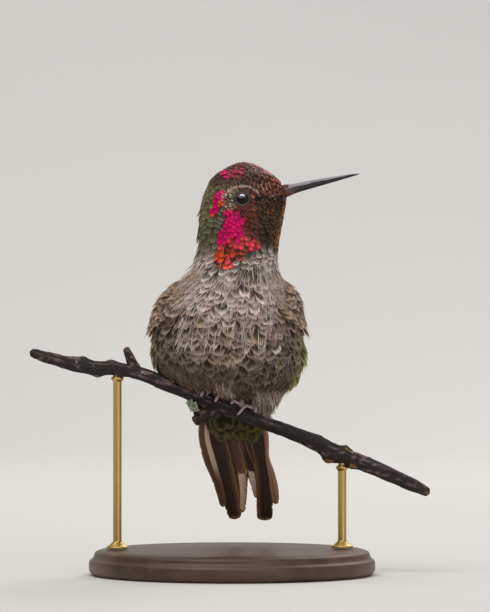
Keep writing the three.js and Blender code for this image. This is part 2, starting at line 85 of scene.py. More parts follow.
def colour(name, *display):
    """A colour property whose default is an 8-bit display colour."""
    about = f"Colour of: {name.lower()}"
    return FloatVectorProperty(
        name=name, description=about, default=tone(*display), size=3, min=0.0, max=1.0, subtype="COLOR"
    )


class CoatSettings(bpy.types.PropertyGroup):
    """Sizes and colours of the plumage."""

    seed: IntProperty(name="Seed", description="Chooses the scatter of the feathers", default=7)
    head_depth: length("Head depth", "Coat depth on the head, mm", 0.42)
    body_depth: length("Body depth", "Coat depth on the breast and back, mm", 1.25)
    crown: colour("Crown", 84, 56, 46)
    crown_edge: colour("Crown edge", 134, 92, 76)
    forehead: colour("Forehead", 128, 76, 58)
    forehead_edge: colour("Forehead edge", 190, 112, 88)
    throat: colour("Throat scales", 64, 42, 31)
    throat_edge: colour("Throat scale edge", 112, 84, 58)
    dusky: colour("Dusky throat", 104, 44, 39)
    dusky_edge: colour("Dusky throat edge", 172, 80, 72)
    chin: colour("Lower throat", 66, 48, 30)
    bronze: colour("Bronze", 158, 106, 46)
    # gold of the painted rim light and glints on the throat
    gold: colour("Gold", 224, 142, 34)
    corner: colour("Corner of the eye", 176, 116, 88)
    magenta: colour("Magenta", 255, 8, 118)
    magenta_edge: colour("Magenta edge", 196, 6, 66)
    salmon: colour("Salmon", 252, 80, 90)
    salmon_edge: colour("Salmon edge", 150, 30, 42)
    orange: colour("Orange", 252, 92, 54)
    orange_edge: colour("Orange edge", 146, 42, 34)
    rose: colour("Rose glint", 196, 66, 82)
    rose_edge: colour("Rose glint edge", 128, 52, 52)
    brow: colour("Brow", 192, 166, 142)
    brow_edge: colour("Brow edge", 214, 190, 164)
    lore: colour("Lore", 20, 16, 14)
    freckle: colour("Freckles", 226, 190, 130)
    cheek: colour("Cheek", 96, 88, 70)
    cheek_edge: colour("Cheek edge", 150, 152, 132)
    nape: colour("Nape", 122, 112, 70)
    nape_edge: colour("Nape edge", 170, 160, 118)
    neck: colour("Fore-neck", 164, 146, 138)
    neck_edge: colour("Fore-neck edge", 250, 232, 226)
    chest: colour("Upper breast", 118, 104, 90)
    chest_edge: colour("Upper breast edge", 230, 208, 198)
    breast: colour("Breast", 74, 66, 52)
    breast_edge: colour("Breast edge", 184, 160, 146)
    belly: colour("Belly", 60, 53, 41)
    belly_edge: colour("Belly edge", 114, 101, 82)
    shoulder: colour("Shoulder", 138, 116, 98)
    buff: colour("Shoulder edge", 198, 168, 142)
    wash: colour("Green wash", 98, 94, 50)
    wash_edge: colour("Green wash edge", 182, 178, 112)
    strand: colour("Loose barbs", 255, 240, 232)
    vent: colour("Vent", 110, 97, 75)
    tuft: colour("Vent tufts", 240, 226, 204)
    under: colour("Undertail", 44, 42, 20)
    under_edge: colour("Undertail edge", 108, 105, 58)
    back: colour("Back", 74, 88, 40)
    back_edge: colour("Back edge", 126, 118, 66)
    covert: colour("Coverts", 96, 88, 56)
    covert_edge: colour("Covert edge", 156, 138, 100)


class BareSettings(bpy.types.PropertyGroup):
    """Colours of the quills, bill, eyes, lids and feet."""

    quill: colour("Flight feather", 58, 47, 38)
    quill_edge: colour("Flight feather edge", 112, 94, 74)
    tail: colour("Tail", 46, 37, 26)
    tail_pale: colour("Tail's inner web", 255, 234, 206)
    tail_edge: colour("Tail edge", 150, 112, 62)
    tail_rust: colour("Tail's rusty web", 184, 128, 100)
    horn: colour("Horn", 38, 31, 30)
    # pale lilac of the painted highlight along the top of the bill
    horn_highlight: colour("Painted horn highlight", 150, 143, 153)
    flush: colour("Flushed base", 128, 104, 98)
    iris: colour("Iris", 40, 28, 22)
    # painted reflection of the sky, mixed into the eye's colour high on the cornea
    sheen: colour("Sheen of the eye", 112, 120, 148)
    lid: colour("Lid", 48, 40, 37)
    lid_bead: colour("Lid beads", 170, 154, 142)
    toe: colour("Toe", 200, 172, 168)
    claw: colour("Claw", 38, 31, 31)


class PerchSettings(bpy.types.PropertyGroup):
    """Colours of the twig."""

    bark: colour("Bark", 38, 30, 27)
    # colour of the paler ridges: partly weathered bark, partly painted highlight
    bark_weathered_and_painted_highlight: colour("Weathered bark with painted highlight", 132, 106, 104)
    crust: colour("Crust", 142, 98, 54)
    lichen: colour("Lichen", 198, 208, 182)
    wood: colour("Torn wood", 96, 78, 60)


class StandSettings(bpy.types.PropertyGroup):
    """Sizes and colours of the stand."""

    rod: length("Rod radius", "Radius of a rod, mm", 1.0)
    collar: length("Collar radius", "Radius of a rod's collar, mm", 2.6)
    walnut: colour("Walnut", 62, 40, 28)
    walnut_light: colour("Light walnut", 104, 70, 47)
    brass: colour("Brass", 206, 172, 104)


class StudioSettings(bpy.types.PropertyGroup):
    """The camera and the lights."""

    lens: FloatProperty(name="Lens", description="Focal length, mm", default=250.0)
    middle: FloatVectorProperty(
        name="Middle", description="Middle of the view, mm", default=(3.05, -5.0, 63.45)
    )
    reach: length("Height of view", "Height of the view at its middle, mm", 143.8)
    key: FloatProperty(name="Key light", description="Power of the light overhead, W", default=8.4)
    fill: FloatProperty(name="Fill light", description="Power of the light in front, W", default=3.0)
    rim: FloatProperty(name="Rim light", description="Power of the light behind, W", default=3.0)
    wall: FloatProperty(name="Wall light", description="Power of the light on the wall, W", default=7.0)
    floor: colour("Floor", 226, 224, 220)


# ------------------------------------------------------------------ shader wiring


def maths(operation, swapped=False):
    """A method of Wire: a Math node of the operation over the wire and what the method is given."""

    def method(self, *others):
        values = (*others, self) if swapped else (self, *others)
        return self.over("ShaderNodeMath", "operation", operation, values)

    return method


class Wire:
    """A number socket whose arithmetic adds Math nodes."""

    def __init__(self, tree, socket):
        self.tree = tree
        self.socket = socket

    def over(self, kind, key, setting, values):
        """A node of a type with one setting over the values, as a new wire."""
        node = self.tree.nodes.new(kind)
        setattr(node, key, setting)
        for place, value in enumerate(values):
            join(self.tree, node.inputs[place], value)
        return Wire(self.tree, node.outputs[0])

    def step(self, low, high):
        """0 below low, 1 above high and smooth between them."""
        return self.over("ShaderNodeMapRange", "interpolation_type", "SMOOTHSTEP", (self, low, high))

    __add__, __radd__ = maths("ADD"), maths("ADD", swapped=True)
    __sub__, __rsub__ = maths("SUBTRACT"), maths("SUBTRACT", swapped=True)
    __mul__, __rmul__ = maths("MULTIPLY"), maths("MULTIPLY", swapped=True)
    __truediv__, __pow__, __abs__ = maths("DIVIDE"), maths("POWER"), maths("ABSOLUTE")
    sine, largest = maths("SINE"), maths("MAXIMUM")


def join(tree, target, value):
    """Links a wire or socket to an input, or sets the input to a plain value."""
    if isinstance(value, Wire):
        value = value.socket
    if isinstance(value, bpy.types.NodeSocket):
        tree.links.new(value, target)
    elif target.type == "RGBA" and len(value) == 3:
        target.default_value = (*value, 1.0)
    else:
        target.default_value = value


class Finish:
    """A material under construction: nodes, wires and the Principled shader at the end."""

    def __init__(self, name, **constants):
        self.material = bpy.data.materials.new(name)
        self.material.use_nodes = True
        self.tree = self.material.node_tree
        self.shader = next(n for n in self.tree.nodes if n.type == "BSDF_PRINCIPLED")
        for socket, value in constants.items():
            label = socket.replace("_", " ").title().replace("Ior", "IOR")
            join(self.tree, self.shader.inputs[label], value)

    def node(self, kind, settings=None, **sockets):
        """A node of a type: its settings first, then its sockets by name or place."""
        node = self.tree.nodes.new(kind)
        for key, value in (settings or {}).items():
            setattr(node, key, value)
        for key, value in sockets.items():
            place = int(key[1:]) if key[0] == "i" and key[1:].isdigit() else key
            join(self.tree, node.inputs[place], value)
        return node

    def wire(self, node, output=0):
        return Wire(self.tree, node.outputs[output])

    def place(self):
        """Object coordinates."""
        return self.node("ShaderNodeTexCoord").outputs["Object"]

    def stretched(self, scale, turn=(0.0, 0.0, 0.0)):
        """Object coordinates, scaled and turned."""
        return self.node("ShaderNodeMapping", Vector=self.place(), Scale=scale, Rotation=turn).outputs[0]

    def attribute(self, name, output="Color"):
        return self.node("ShaderNodeAttribute", {"attribute_name": name}).outputs[output]

    def value(self, name):
        """A number that the mesh carries, as a wire."""
        return Wire(self.tree, self.attribute(name, "Fac"))

    def along(self, name):
        """The two coordinates of a UV map, as wires."""
        coordinates = self.node("ShaderNodeUVMap", {"uv_map": name}).outputs[0]
        parts = self.node("ShaderNodeSeparateXYZ", i0=coordinates)
        return self.wire(parts, 0), self.wire(parts, 1)

    def noise(self, scale, detail=3.0, vector=None):
        node = self.node("ShaderNodeTexNoise", Vector=vector or self.place(), Scale=scale, Detail=detail)
        return self.wire(node, "Fac")

    def combed(self, across, along, detail):
        """Noise over two wires, such as the coordinates of a vane, each times its own scale."""
        return self.noise(1.0, detail, self.node("ShaderNodeCombineXYZ", i0=across, i1=along).outputs[0])

    def cells(self, scale):
        """How far each place is from the middle of its cell."""
        return self.wire(self.node("ShaderNodeTexVoronoi", Vector=self.place(), Scale=scale), "Distance")

    def mixed(self, share, first, second, blend="MIX"):
        """Two colours mixed by a share."""
        settings = {"data_type": "RGBA", "blend_type": blend}
        return self.node("ShaderNodeMix", settings, i0=share, i6=first, i7=second).outputs[2]

    def shaded(self, base, amount):
        """A colour multiplied by a grey wire."""
        grey = self.node("ShaderNodeCombineColor", i0=amount, i1=amount, i2=amount)
        return self.mixed(1.0, base, grey.outputs[0], "MULTIPLY")

    def done(self, base, roughness=None, metallic=None, wet=None, height=None, strength=0.4, distance=0.1):
        """Feeds the shader and gives back the material; distance is in millimetres."""
        wires = {"Base Color": base, "Coat Weight": wet, "Roughness": roughness, "Metallic": metallic}
        if height is not None:
            bump = self.node("ShaderNodeBump", Strength=strength, Distance=distance * MM, Height=height)
            wires["Normal"] = bump.outputs[0]
        for label, value in wires.items():
            if value is not None:
                join(self.tree, self.shader.inputs[label], value)
        return self.material


# ------------------------------------------------------------------ numbers


def smooth(value, low, high):
    """0 below low, 1 above high and smooth between them."""
    share = np.clip((value - low) / (high - low), 0.0, 1.0)
    return share * share * (3.0 - 2.0 * share)


def unit(vectors):
    """Vectors at length one."""
    size = np.linalg.norm(vectors, axis=-1, keepdims=True)
    return vectors / np.maximum(size, 1e-9)


def blend(first, second, share):
    """From first to second by a share that has one axis less."""
    share = np.asarray(share)[..., None]
    return first * (1.0 - share) + second * share


LATTICE = np.random.default_rng(11).random((32, 32, 32))


def drift(points, scale):
    """Smooth noise from 0 to 1: random values on a cubic lattice, eased between its nodes."""
    place = np.asarray(points) * scale
    low = np.floor(place).astype(int)
    share = place - low
    share = share * share * (3.0 - 2.0 * share)
    total = 0.0
    for corner in np.ndindex(2, 2, 2):
        step = np.array(corner)
        weight = np.prod(np.where(step, share, 1.0 - share), axis=-1)
        index = (low + step) % 32
        total = total + weight * LATTICE[index[..., 0], index[..., 1], index[..., 2]]
    return total


def rough_drift(points, scale, octaves=3):
    """Noise summed over octaves that double in scale and halve in weight, from 0 to 1."""
    total = sum(drift(points + 7.3 * k, scale * 2**k) / 2**k for k in range(octaves))
    return total / (2.0 - 2.0 ** (1 - octaves))


def square_to(axes, vectors):
    """The part of vectors that is square to the unit vectors `axes`, at length one."""
    return unit(vectors - axes * (vectors * axes).sum(-1, keepdims=True))


def hermite(t, start, end, leave, arrive):
    """The cubic from start to end that leaves and arrives with those slopes, at t."""
    return (
        (2 * t**3 - 3 * t**2 + 1) * start
        + (t**3 - 2 * t**2 + t) * leave
        + (3 * t**2 - 2 * t**3) * end
        + (t**3 - t**2) * arrive
    )


class Path:
    """A centripetal Catmull-Rom curve through points, read by its share of length."""

    def __init__(self, points, samples=40):
        knots = np.asarray(points, dtype=float)
        knots = np.vstack([2 * knots[0] - knots[1], knots, 2 * knots[-1] - knots[-2]])
        gaps = np.maximum(np.linalg.norm(np.diff(knots[:, :3], axis=0), axis=1), 1e-6) ** 0.5
        gaps = gaps[:, None, None]
        before, start, end, after = (knots[k : len(knots) - 3 + k, None, :] for k in range(4))
        gap0, gap1, gap2 = gaps[:-2], gaps[1:-1], gaps[2:]
        leave = (start - before) / gap0 - (end - before) / (gap0 + gap1) + (end - start) / gap1
        arrive = (end - start) / gap1 - (after - start) / (gap1 + gap2) + (after - end) / gap2
        t = np.linspace(0.0, 1.0, samples, endpoint=False)[None, :, None]
        cubic = hermite(t, start, end, leave * gap1, arrive * gap1)
        self.points = np.vstack([cubic.reshape(-1, knots.shape[1]), knots[-2]])
        steps = np.linalg.norm(np.diff(self.points[:, :3], axis=0), axis=1)
        self.lengths = np.concatenate([[0.0], np.cumsum(steps)])
        self.length = self.lengths[-1]

    def at(self, share):
        """The point, with whatever extra columns the knots had, at shares of the length."""
        where = np.asarray(share) * self.length
        columns = [np.interp(where, self.lengths, column) for column in self.points.T]
        return np.stack(columns, axis=-1)

    def heading(self, share):
        """The direction of travel at shares of the length."""
        share = np.asarray(share)
        ahead = self.at(np.clip(share + 0.004, 0, 1))
        behind = self.at(np.clip(share - 0.004, 0, 1))
        return unit((ahead - behind)[..., :3])


# ------------------------------------------------------------------ meshes


def write_piece(name, points, faces, finish, maps=None, tints=None, sharp=None):
    """A mesh object from millimetre points and a list of face arrays, one array for each number
    of corners. It rides on the frame's one body."""
    mesh = bpy.data.meshes.new(name)
    points = np.asarray(points, dtype=np.float64) * MM
    corners = np.concatenate([block.ravel() for block in faces]).astype(np.int32)
    sides = np.concatenate([np.full(len(block), block.shape[1]) for block in faces])
    starts = np.concatenate([[0], np.cumsum(sides)[:-1]]).astype(np.int32)
    mesh.vertices.add(len(points))
    mesh.vertices.foreach_set("co", points.astype(np.float32).ravel())
    mesh.loops.add(len(corners))
    mesh.polygons.add(len(sides))
    mesh.polygons.foreach_set("loop_start", starts)
    mesh.loops.foreach_set("vertex_index", corners)
    mesh.update(calc_edges=True)
    mesh.polygons.foreach_set("use_smooth", np.ones(len(sides), dtype=bool))
    for label, values in (maps or {}).items():
        layer = mesh.uv_layers.new(name=label)
        layer.data.foreach_set("uv", np.asarray(values, dtype=np.float32)[corners].ravel())
    for label, values in (tints or {}).items():
        values = np.asarray(values, dtype=np.float32)
        if values.ndim == 1:
            layer = mesh.attributes.new(label, "FLOAT", "POINT")
            layer.data.foreach_set("value", values)
            continue
        layer = mesh.attributes.new(label, "FLOAT_COLOR", "POINT")
        layer.data.foreach_set("color", np.insert(values, 3, 1.0, axis=1).ravel())
    if sharp is not None:
        ends = np.empty(len(mesh.edges) * 2, dtype=np.int32)
        mesh.edges.foreach_get("vertices", ends)
        ends = ends.reshape(-1, 2)
        marks = mesh.attributes.new("sharp_edge", "BOOLEAN", "EDGE")
        marks.data.foreach_set("value", sharp[ends[:, 0]] & sharp[ends[:, 1]])
    mesh.materials.append(finish)
    piece = bpy.data.objects.new(name, mesh)
    bpy.context.scene.collection.objects.link(piece)
    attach(piece, "root")
    return piece


def grid_faces(rows, columns, ring=False):
    """Quads of a grid of points, rows first; a ring joins the last column to the first.

    They face the way of column direction x row direction."""
    row = np.arange(rows - 1)[:, None]
    column = np.arange(columns if ring else columns - 1)[None, :]
    after = (column + 1) % columns
    start = row * columns
    quads = [start + column, start + after, start + columns + after, start + columns + column]
    return np.stack(quads, axis=-1).reshape(-1, 4)


def flipped(faces):
    """The same faces, turned to look the other way."""
    return [block[:, ::-1] for block in faces]


def tube_faces(rows, around):
    """Faces of a tube's rings and of a fan round one more point at each end. They look outwards
    where the rings turn right-handed about the tube's heading."""
    each = np.arange(around)
    after = (each + 1) % around
    count = rows * around
    last = count - around
    near = np.stack([np.full(around, count), after, each], axis=-1)
    far = np.stack([np.full(around, count + 1), last + each, last + after], axis=-1)
    return [grid_faces(rows, around, ring=True), near, far]


def closed_tube(rings):
    """Points and faces of a tube through rings (rows, around, 3), with a point at each end."""
    points = np.vstack([rings.reshape(-1, 3), rings[0].mean(axis=0), rings[-1].mean(axis=0)])
    return points, tube_faces(*rings.shape[:2])


def with_ends(grid, shape, first=None, last=None):
    """Values of a tube's points: a grid of its rings, then its two end points. These take the
    first value of the ring next to them unless they are given."""
    grid = np.broadcast_to(grid, shape)
    return np.append(grid, [grid[0, 0] if first is None else first, grid[-1, 0] if last is None else last])


def rings_along(path, t, reach, first, second, angle):
    """Rings round a path at shares t: `reach` away from it, towards `first` where the angle is 0
    and towards `second` a quarter turn on."""
    away = first[:, None] * np.cos(angle)[..., None] + second[:, None] * np.sin(angle)[..., None]
    return path.at(t)[:, None, :3] + reach[..., None] * away


def full_turn(count):
    """Angles evenly apart round a circle."""
    return np.linspace(0.0, 2 * np.pi, count, endpoint=False)


def sweep(path, radius, rows, around, side=(0.0, 0.0, 1.0)):
    """A closed tube along a path: at each share t, a ring of radius(t, angle) across the heading.
    The angle starts at `side`."""
    t, angle = np.linspace(0.0, 1.0, rows), full_turn(around)
    heading = path.heading(t)
    first = square_to(heading, np.asarray(side))
    reach = radius(t[:, None], angle[None, :]) * np.ones((rows, around))
    return closed_tube(rings_along(path, t, reach, first, np.cross(heading, first), angle))


class Heap:
    """Gathers points, faces and per-point values of many closed shapes into one mesh."""

    def __init__(self):
        self.points = []
        self.faces = {}
        self.values = {}
        self.count = 0

    def add(self, points, faces, **values):
        """Takes one shape, with values of its points."""
        points = np.asarray(points)
        self.points.append(points)
        for block in faces:
            self.faces.setdefault(block.shape[1], []).append(block + self.count)
        self.count += len(points)
        self.note(len(points), **values)

    def note(self, count, **values):
        """Takes values of the last points, each one number or colour, or one for each point."""
        for label, value in values.items():
            value = np.asarray(value, dtype=float)
            if value.ndim == 0 or len(value) != count:
                value = np.broadcast_to(value, (count, *value.shape))
            self.values.setdefault(label, []).append(value)

    def write(self, name, finish, slot, maps=(), tints=(), sharp=False):
        """Writes everything gathered as one piece; maps and tints name the values it keeps."""
        whole = {label: np.concatenate(parts) for label, parts in self.values.items()}
        maps, tints = ({label: whole[label] for label in labels} for labels in (maps, tints))
        points = np.concatenate(self.points)
        faces = [np.concatenate(blocks) for blocks in self.faces.values()]
        sharp = whole["rim"] > 0.5 if sharp else None
        return write_piece(name, points, faces, finish, maps, tints, sharp)


# ------------------------------------------------------------------ the body's surface

# Sections of the plumage from the crown to the undertail: level, middle x and y, reach to the
# bird's right and left and to its front and back, and turn in degrees.
STATIONS = np.array(
    [
        (97.3, 2.6, -5.0, 0.0, 0.0, 0.0, 0.0, -12.0),
        (94.3, 2.0, -5.0, 5.9, 7.6, 5.2, 5.2, -12.0),
        (90.5, 1.2, -5.0, 7.5, 10.2, 6.9, 6.9, -12.0),
        (86.5, 0.8, -5.0, 8.2, 11.7, 7.5, 7.5, -12.0),
        (82.0, 0.6, -4.8, 8.4, 11.2, 7.8, 7.9, -10.0),
        (77.5, 0.7, -4.5, 8.6, 10.2, 8.5, 8.6, -5.0),
        (73.0, 0.8, -3.9, 10.2, 10.1, 9.9, 9.6, 0.0),
        (68.5, 0.2, -3.2, 12.7, 12.2, 11.8, 11.2, 0.0),
        (63.0, -0.5, -2.6, 15.6, 14.9, 13.6, 12.6, 0.0),
        (57.0, -0.9, -1.8, 17.2, 16.8, 14.6, 13.2, 0.0),
        (51.0, -0.7, -0.6, 17.7, 17.7, 14.0, 12.8, 0.0),
        (46.0, -0.2, 1.2, 15.2, 15.4, 11.4, 11.4, 0.0),
        (42.0, 0.3, 4.4, 10.2, 11.2, 7.0, 9.2, 0.0),
        (37.5, 0.6, 8.6, 7.4, 8.2, 4.2, 6.4, 0.0),
        (33.4, 0.9, 11.6, 6.4, 6.6, 2.7, 4.2, 0.0),
        (31.4, 1.2, 12.8, 0.0, 0.0, 0.0, 0.0, 0.0),
    ]
)
# How much the head swells towards the bill, at what level, over what height and how far round it.
MUZZLE = {"share": 0.155, "level": 90.4, "height": 2.6, "spread": 0.42}
# The way the head is turned: its middle, the way the bill points and the bird's right beside it.
HEAD_TURN = math.radians(12)
HEAD_MIDDLE = np.array([1.0, -5.0, 0.0])
HEADING = np.array([math.cos(HEAD_TURN), -math.sin(HEAD_TURN), 0.0])
TO_RIGHT = np.array([HEADING[1], -HEADING[0], 0.0])
UP = np.array([0.0, 0.0, 1.0])

_mirror = np.array([1.0, 1.0, 1.0, -1.0, -1.0, -1.0, -1.0, 1.0])
LEVELS = np.vstack([STATIONS[1] * _mirror, STATIONS, STATIONS[-2] * _mirror])


def sections(s):
    """The section's eight numbers at s, from 0 at the crown to 1 at the undertail: a cubic
    through the stations whose slope at each is half the step between its neighbours."""
    last = len(STATIONS) - 1
    place = np.clip(s, 0.0, 1.0) * last
    low = np.minimum(place.astype(int), last - 1)
    t = (place - low)[..., None]
    before, start, end, after = (LEVELS[low + k] for k in range(4))
    leave, arrive = (end - before) / 2, (after - start) / 2
    return hermite(t, start, end, leave, arrive)


def plumage(s, angle, offset=0.0):
    """A point of the plumage: s down the body, angle from the front towards the left. Each
    section is four quarter ellipses, turned, and swollen towards the bill. The offset grows it
    sideways, and upwards or downwards next to its ends."""
    s, angle, offset = np.broadcast_arrays(np.asarray(s, dtype=float), angle, offset)
    level, x0, y0, right, left, front, back, turn = np.moveaxis(sections(s), -1, 0)
    aside, ahead = np.sin(angle), -np.cos(angle)
    outward = np.minimum(1.0, 6 * np.sin(np.pi * np.clip(s, 0.0, 1.0)))
    x = aside * (np.maximum(0.0, np.where(aside > 0, left, right)) + offset * outward)
    y = ahead * (np.maximum(0.0, np.where(ahead < 0, front, back)) + offset * outward)
    from_bill = np.arctan2(y, x) / MUZZLE["spread"]
    from_level = (level - MUZZLE["level"]) / MUZZLE["height"]
    swell = 1 + MUZZLE["share"] * np.exp(-(from_bill**2) - from_level**2)
    turn = np.radians(turn)
    x, y = swell * (x * np.cos(turn) - y * np.sin(turn)), swell * (x * np.sin(turn) + y * np.cos(turn))
    level = level + np.where(s < 0.5, 1.0, -1.0) * offset * (1 - outward)
    return np.stack([x0 + x, y0 + y, level], axis=-1)


def in_head(ahead, aside, level):
    """A place in the head: ahead along the bill, aside towards the bird's right, and level."""
    flat = HEAD_MIDDLE + np.multiply.outer(ahead, HEADING) + np.multiply.outer(aside, TO_RIGHT)
    return flat + np.multiply.outer(level, UP)


def head_place(points):
    """How far points are ahead of the head's middle, how far to either side, and their level."""
    offset = points - HEAD_MIDDLE
    return offset @ HEADING, np.abs(offset @ TO_RIGHT), points[..., 2]


class Chart:
    """A surface read through two flat coordinates, with the slopes and the outward normal."""

    def __init__(self, surface, outward=1.0):
        self.at = surface
        self.outward = outward

    def slopes(self, x, y, h=0.002):
        """The change of place with each coordinate, from points a small step to either side."""
        along_x = (self.at(x + h, y) - self.at(x - h, y)) / (2 * h)
        along_y = (self.at(x, y + h) - self.at(x, y - h)) / (2 * h)
        return along_x, along_y

    def normal(self, x, y):
        return unit(np.cross(*self.slopes(x, y))) * self.outward

    def moved(self, x, y, shift):
        """The coordinates after a move by the vectors `shift`, by least squares on the slopes."""
        along_x, along_y = self.slopes(x, y)
        dot = lambda first, second: (first * second).sum(-1)
        xx, yy, xy = dot(along_x, along_x), dot(along_y, along_y), dot(along_x, along_y)
        wx, wy = dot(along_x, shift), dot(along_y, shift)
        whole = np.maximum(xx * yy - xy**2, 1e-6)
        return x + (wx * yy - wy * xy) / whole, y + (wy * xx - wx * xy) / whole


def from_crown(x, y):
    """The body unrolled round the crown: distance from the middle is s, direction the angle."""
    return plumage(np.minimum(np.hypot(x, y), 1.0), np.arctan2(x, -y))


def from_tail(x, y):
    """The body unrolled round the undertail: distance from the middle is 1 - s."""
    return plumage(1.0 - np.minimum(np.hypot(x, y), 1.0), np.arctan2(x, -y))


CHARTS = {"upper": Chart(from_crown), "lower": Chart(from_tail, -1.0)}


def on_chart(half, s, angle):
    """The chart of the body's upper or lower half, and the coordinates of places on it."""
    radius = s if half == "upper" else 1 - s
    return CHARTS[half], radius * np.sin(angle), -radius * np.cos(angle)


def unwrap(s, angle):
    """Places on the body as coordinates of the bake map."""
    return np.stack([(angle + np.pi) / (2 * np.pi), 1 - s], axis=-1)


def down_body(s, angle):
    """The way down the body at a place, as a unit vector."""
    s = np.clip(s, 0.02, 0.98)
    return unit(plumage(s + 0.01, angle) - plumage(s - 0.01, angle))


def body_normal(s, angle):
    """The outward unit normal of the plumage."""
    near = np.clip(s, 0.004, 0.996)
    round_body = plumage(near, angle + 0.01) - plumage(near, angle - 0.01)
    along = plumage(near + 0.004, angle) - plumage(near - 0.004, angle)
    return unit(np.cross(along, round_body))


# ------------------------------------------------------------------ eyes and bill, as places

# Places in the head, ahead, aside and level; the bill's depths and width are halves at its base.
EYE = {"radius": 2.05, "ahead": 2.9, "aside": 5.3, "level": 88.45}
BILL = {
    "start": 8.6,
    "base_level": 89.6,
    "tip_reach": 29.4,
    "tip_level": 94.3,
    "bow": 0.14,
    "upper": 1.35,
    "under": 1.14,
    "wide": 0.875,
    "gape": 0.12,
}


def eye_distance(points):
    """Distance from the eyes' common axis, and the direction away from it, in the head's side
    view."""
    ahead, _, level = head_place(points)
    across = np.stack([ahead - EYE["ahead"], level - EYE["level"]], axis=-1)
    away = unit(across)
    return np.linalg.norm(across, axis=-1), away[..., :1] * HEADING + away[..., 1:] * UP


def bill_line(t):
    """The bill's middle line: almost straight, bowed up a little in the middle."""
    t = np.asarray(t, dtype=float)
    ahead = BILL["start"] + (BILL["tip_reach"] - BILL["start"]) * t
    level = BILL["base_level"] + (BILL["tip_level"] - BILL["base_level"]) * t
    return in_head(ahead, 0.0 * t, level + 4 * BILL["bow"] * t * (1 - t))


def bill_taper(t):
    """Share of the bill's depth and width left at t, from the base to the point."""
    left = np.maximum(1 - t, 0.0)
    return 0.025 + 0.975 * left**0.64 + 0.1 * np.sin(np.pi * t) * left


def bill_base(t, under):
    """Extra share of the bill's depth at its feathered base, most on the chin."""
    return smooth(t, 0.34, 0.1) * (0.05 + 0.27 * under)


def muzzle_side(x, y):
    """The feathered base of the bill: x is the angle round it from the bird's right over the
    top, y how far ahead of the head's middle."""
    x, y = np.broadcast_arrays(x, y)
    t = (y - BILL["start"]) / (BILL["tip_reach"] - BILL["start"])
    taper, rise = bill_taper(t), np.sin(x)
    clear = 0.08 + 0.2 * smooth(y, 13.5, 9.5)
    deep = np.where(rise > 0, BILL["upper"], BILL["under"]) * (taper + bill_base(t, rise < 0)) + clear
    wide = BILL["wide"] * taper + clear
    return bill_line(t) + (wide * np.cos(x))[..., None] * TO_RIGHT + (deep * rise)[..., None] * UP


MUZZLE_CHART = Chart(muzzle_side, -1.0)
# How far the muzzle's feathers reach, by the sine of the angle round the bill.
MUZZLE_END = [(-1, 14.0), (-0.7, 13.3), (-0.15, 11.8), (0, 10.2), (0.2, 11.6), (0.7, 12.9), (1, 12.4)]


# ------------------------------------------------------------------ markings


def patch(ahead, level, middle, radii, tilt=0.0, soft=0.25):
    """1 inside an ellipse in the head's side view and 0 outside it, with a soft edge."""
    turn = math.radians(tilt)
    x, z = ahead - middle[0], level - middle[1]
    along = (x * math.cos(turn) + z * math.sin(turn)) / radii[0]
    across = (z * math.cos(turn) - x * math.sin(turn)) / radii[1]
    return 1 - smooth(np.hypot(along, across), 1 - soft, 1 + soft)


def patches(ahead, level, *ellipses):
    """The largest of several patches."""
    return np.maximum.reduce([patch(ahead, level, *ellipse) for ellipse in ellipses])


# The lower edge of the gorget as (ahead, level), and its rear edge as (level, ahead).
GORGET_EDGE = [(-3.2, 79.5), (-1.2, 71.8), (2.2, 74.0), (6.1, 75.2)]
GORGET_EDGE += [(7.7, 77.0), (8.9, 76.8), (9.8, 75.2), (11.5, 74.6)]
GORGET_REAR = [(70.4, -1.8), (73.0, -2.9), (76.0, -3.1), (79.0, -2.9), (83.0, -1.7), (86.3, -0.6)]


def gorget_edge(ahead):
    """The lowest level of the gorget: a point at its rear corner, rising towards the chin."""
    return np.interp(ahead, *zip(*GORGET_EDGE))


def gorget_rear(level):
    """How far back the gorget reaches at a level."""
    return np.interp(level, *zip(*GORGET_REAR))


def in_gorget(points):
    """Whether places lie on the lower gorget, whose scales stay small."""
    ahead, _, level = head_place(points)
    inside = (level > gorget_edge(ahead) - 0.4) & (ahead > gorget_rear(level) - 0.4)
    return inside & (level < 78.0) & (ahead < 9.0)


class Marks:
    """Centre colour, rim colour and glint of the coat at many places."""

    def __init__(self, points):
        self.points = points
        self.centre = np.zeros(points.shape)
        self.rim = np.zeros(points.shape)
        self.glint = np.zeros(len(points))

    def lay(self, share, centre, rim, glint=0.0):
        """Lays a pair of colours and a glint over what is there, by a share for each place."""
        share = np.clip(share, 0.0, 1.0)
        self.centre = blend(self.centre, np.asarray(centre), share)
        self.rim = blend(self.rim, np.asarray(rim), share)
        self.glint = self.glint * (1 - share) + glint * share

    def picked(self, chosen):
        """The marks of some of the places."""
        some = Marks(self.points[chosen])
        some.centre, some.rim, some.glint = self.centre[chosen], self.rim[chosen], self.glint[chosen]
        return some


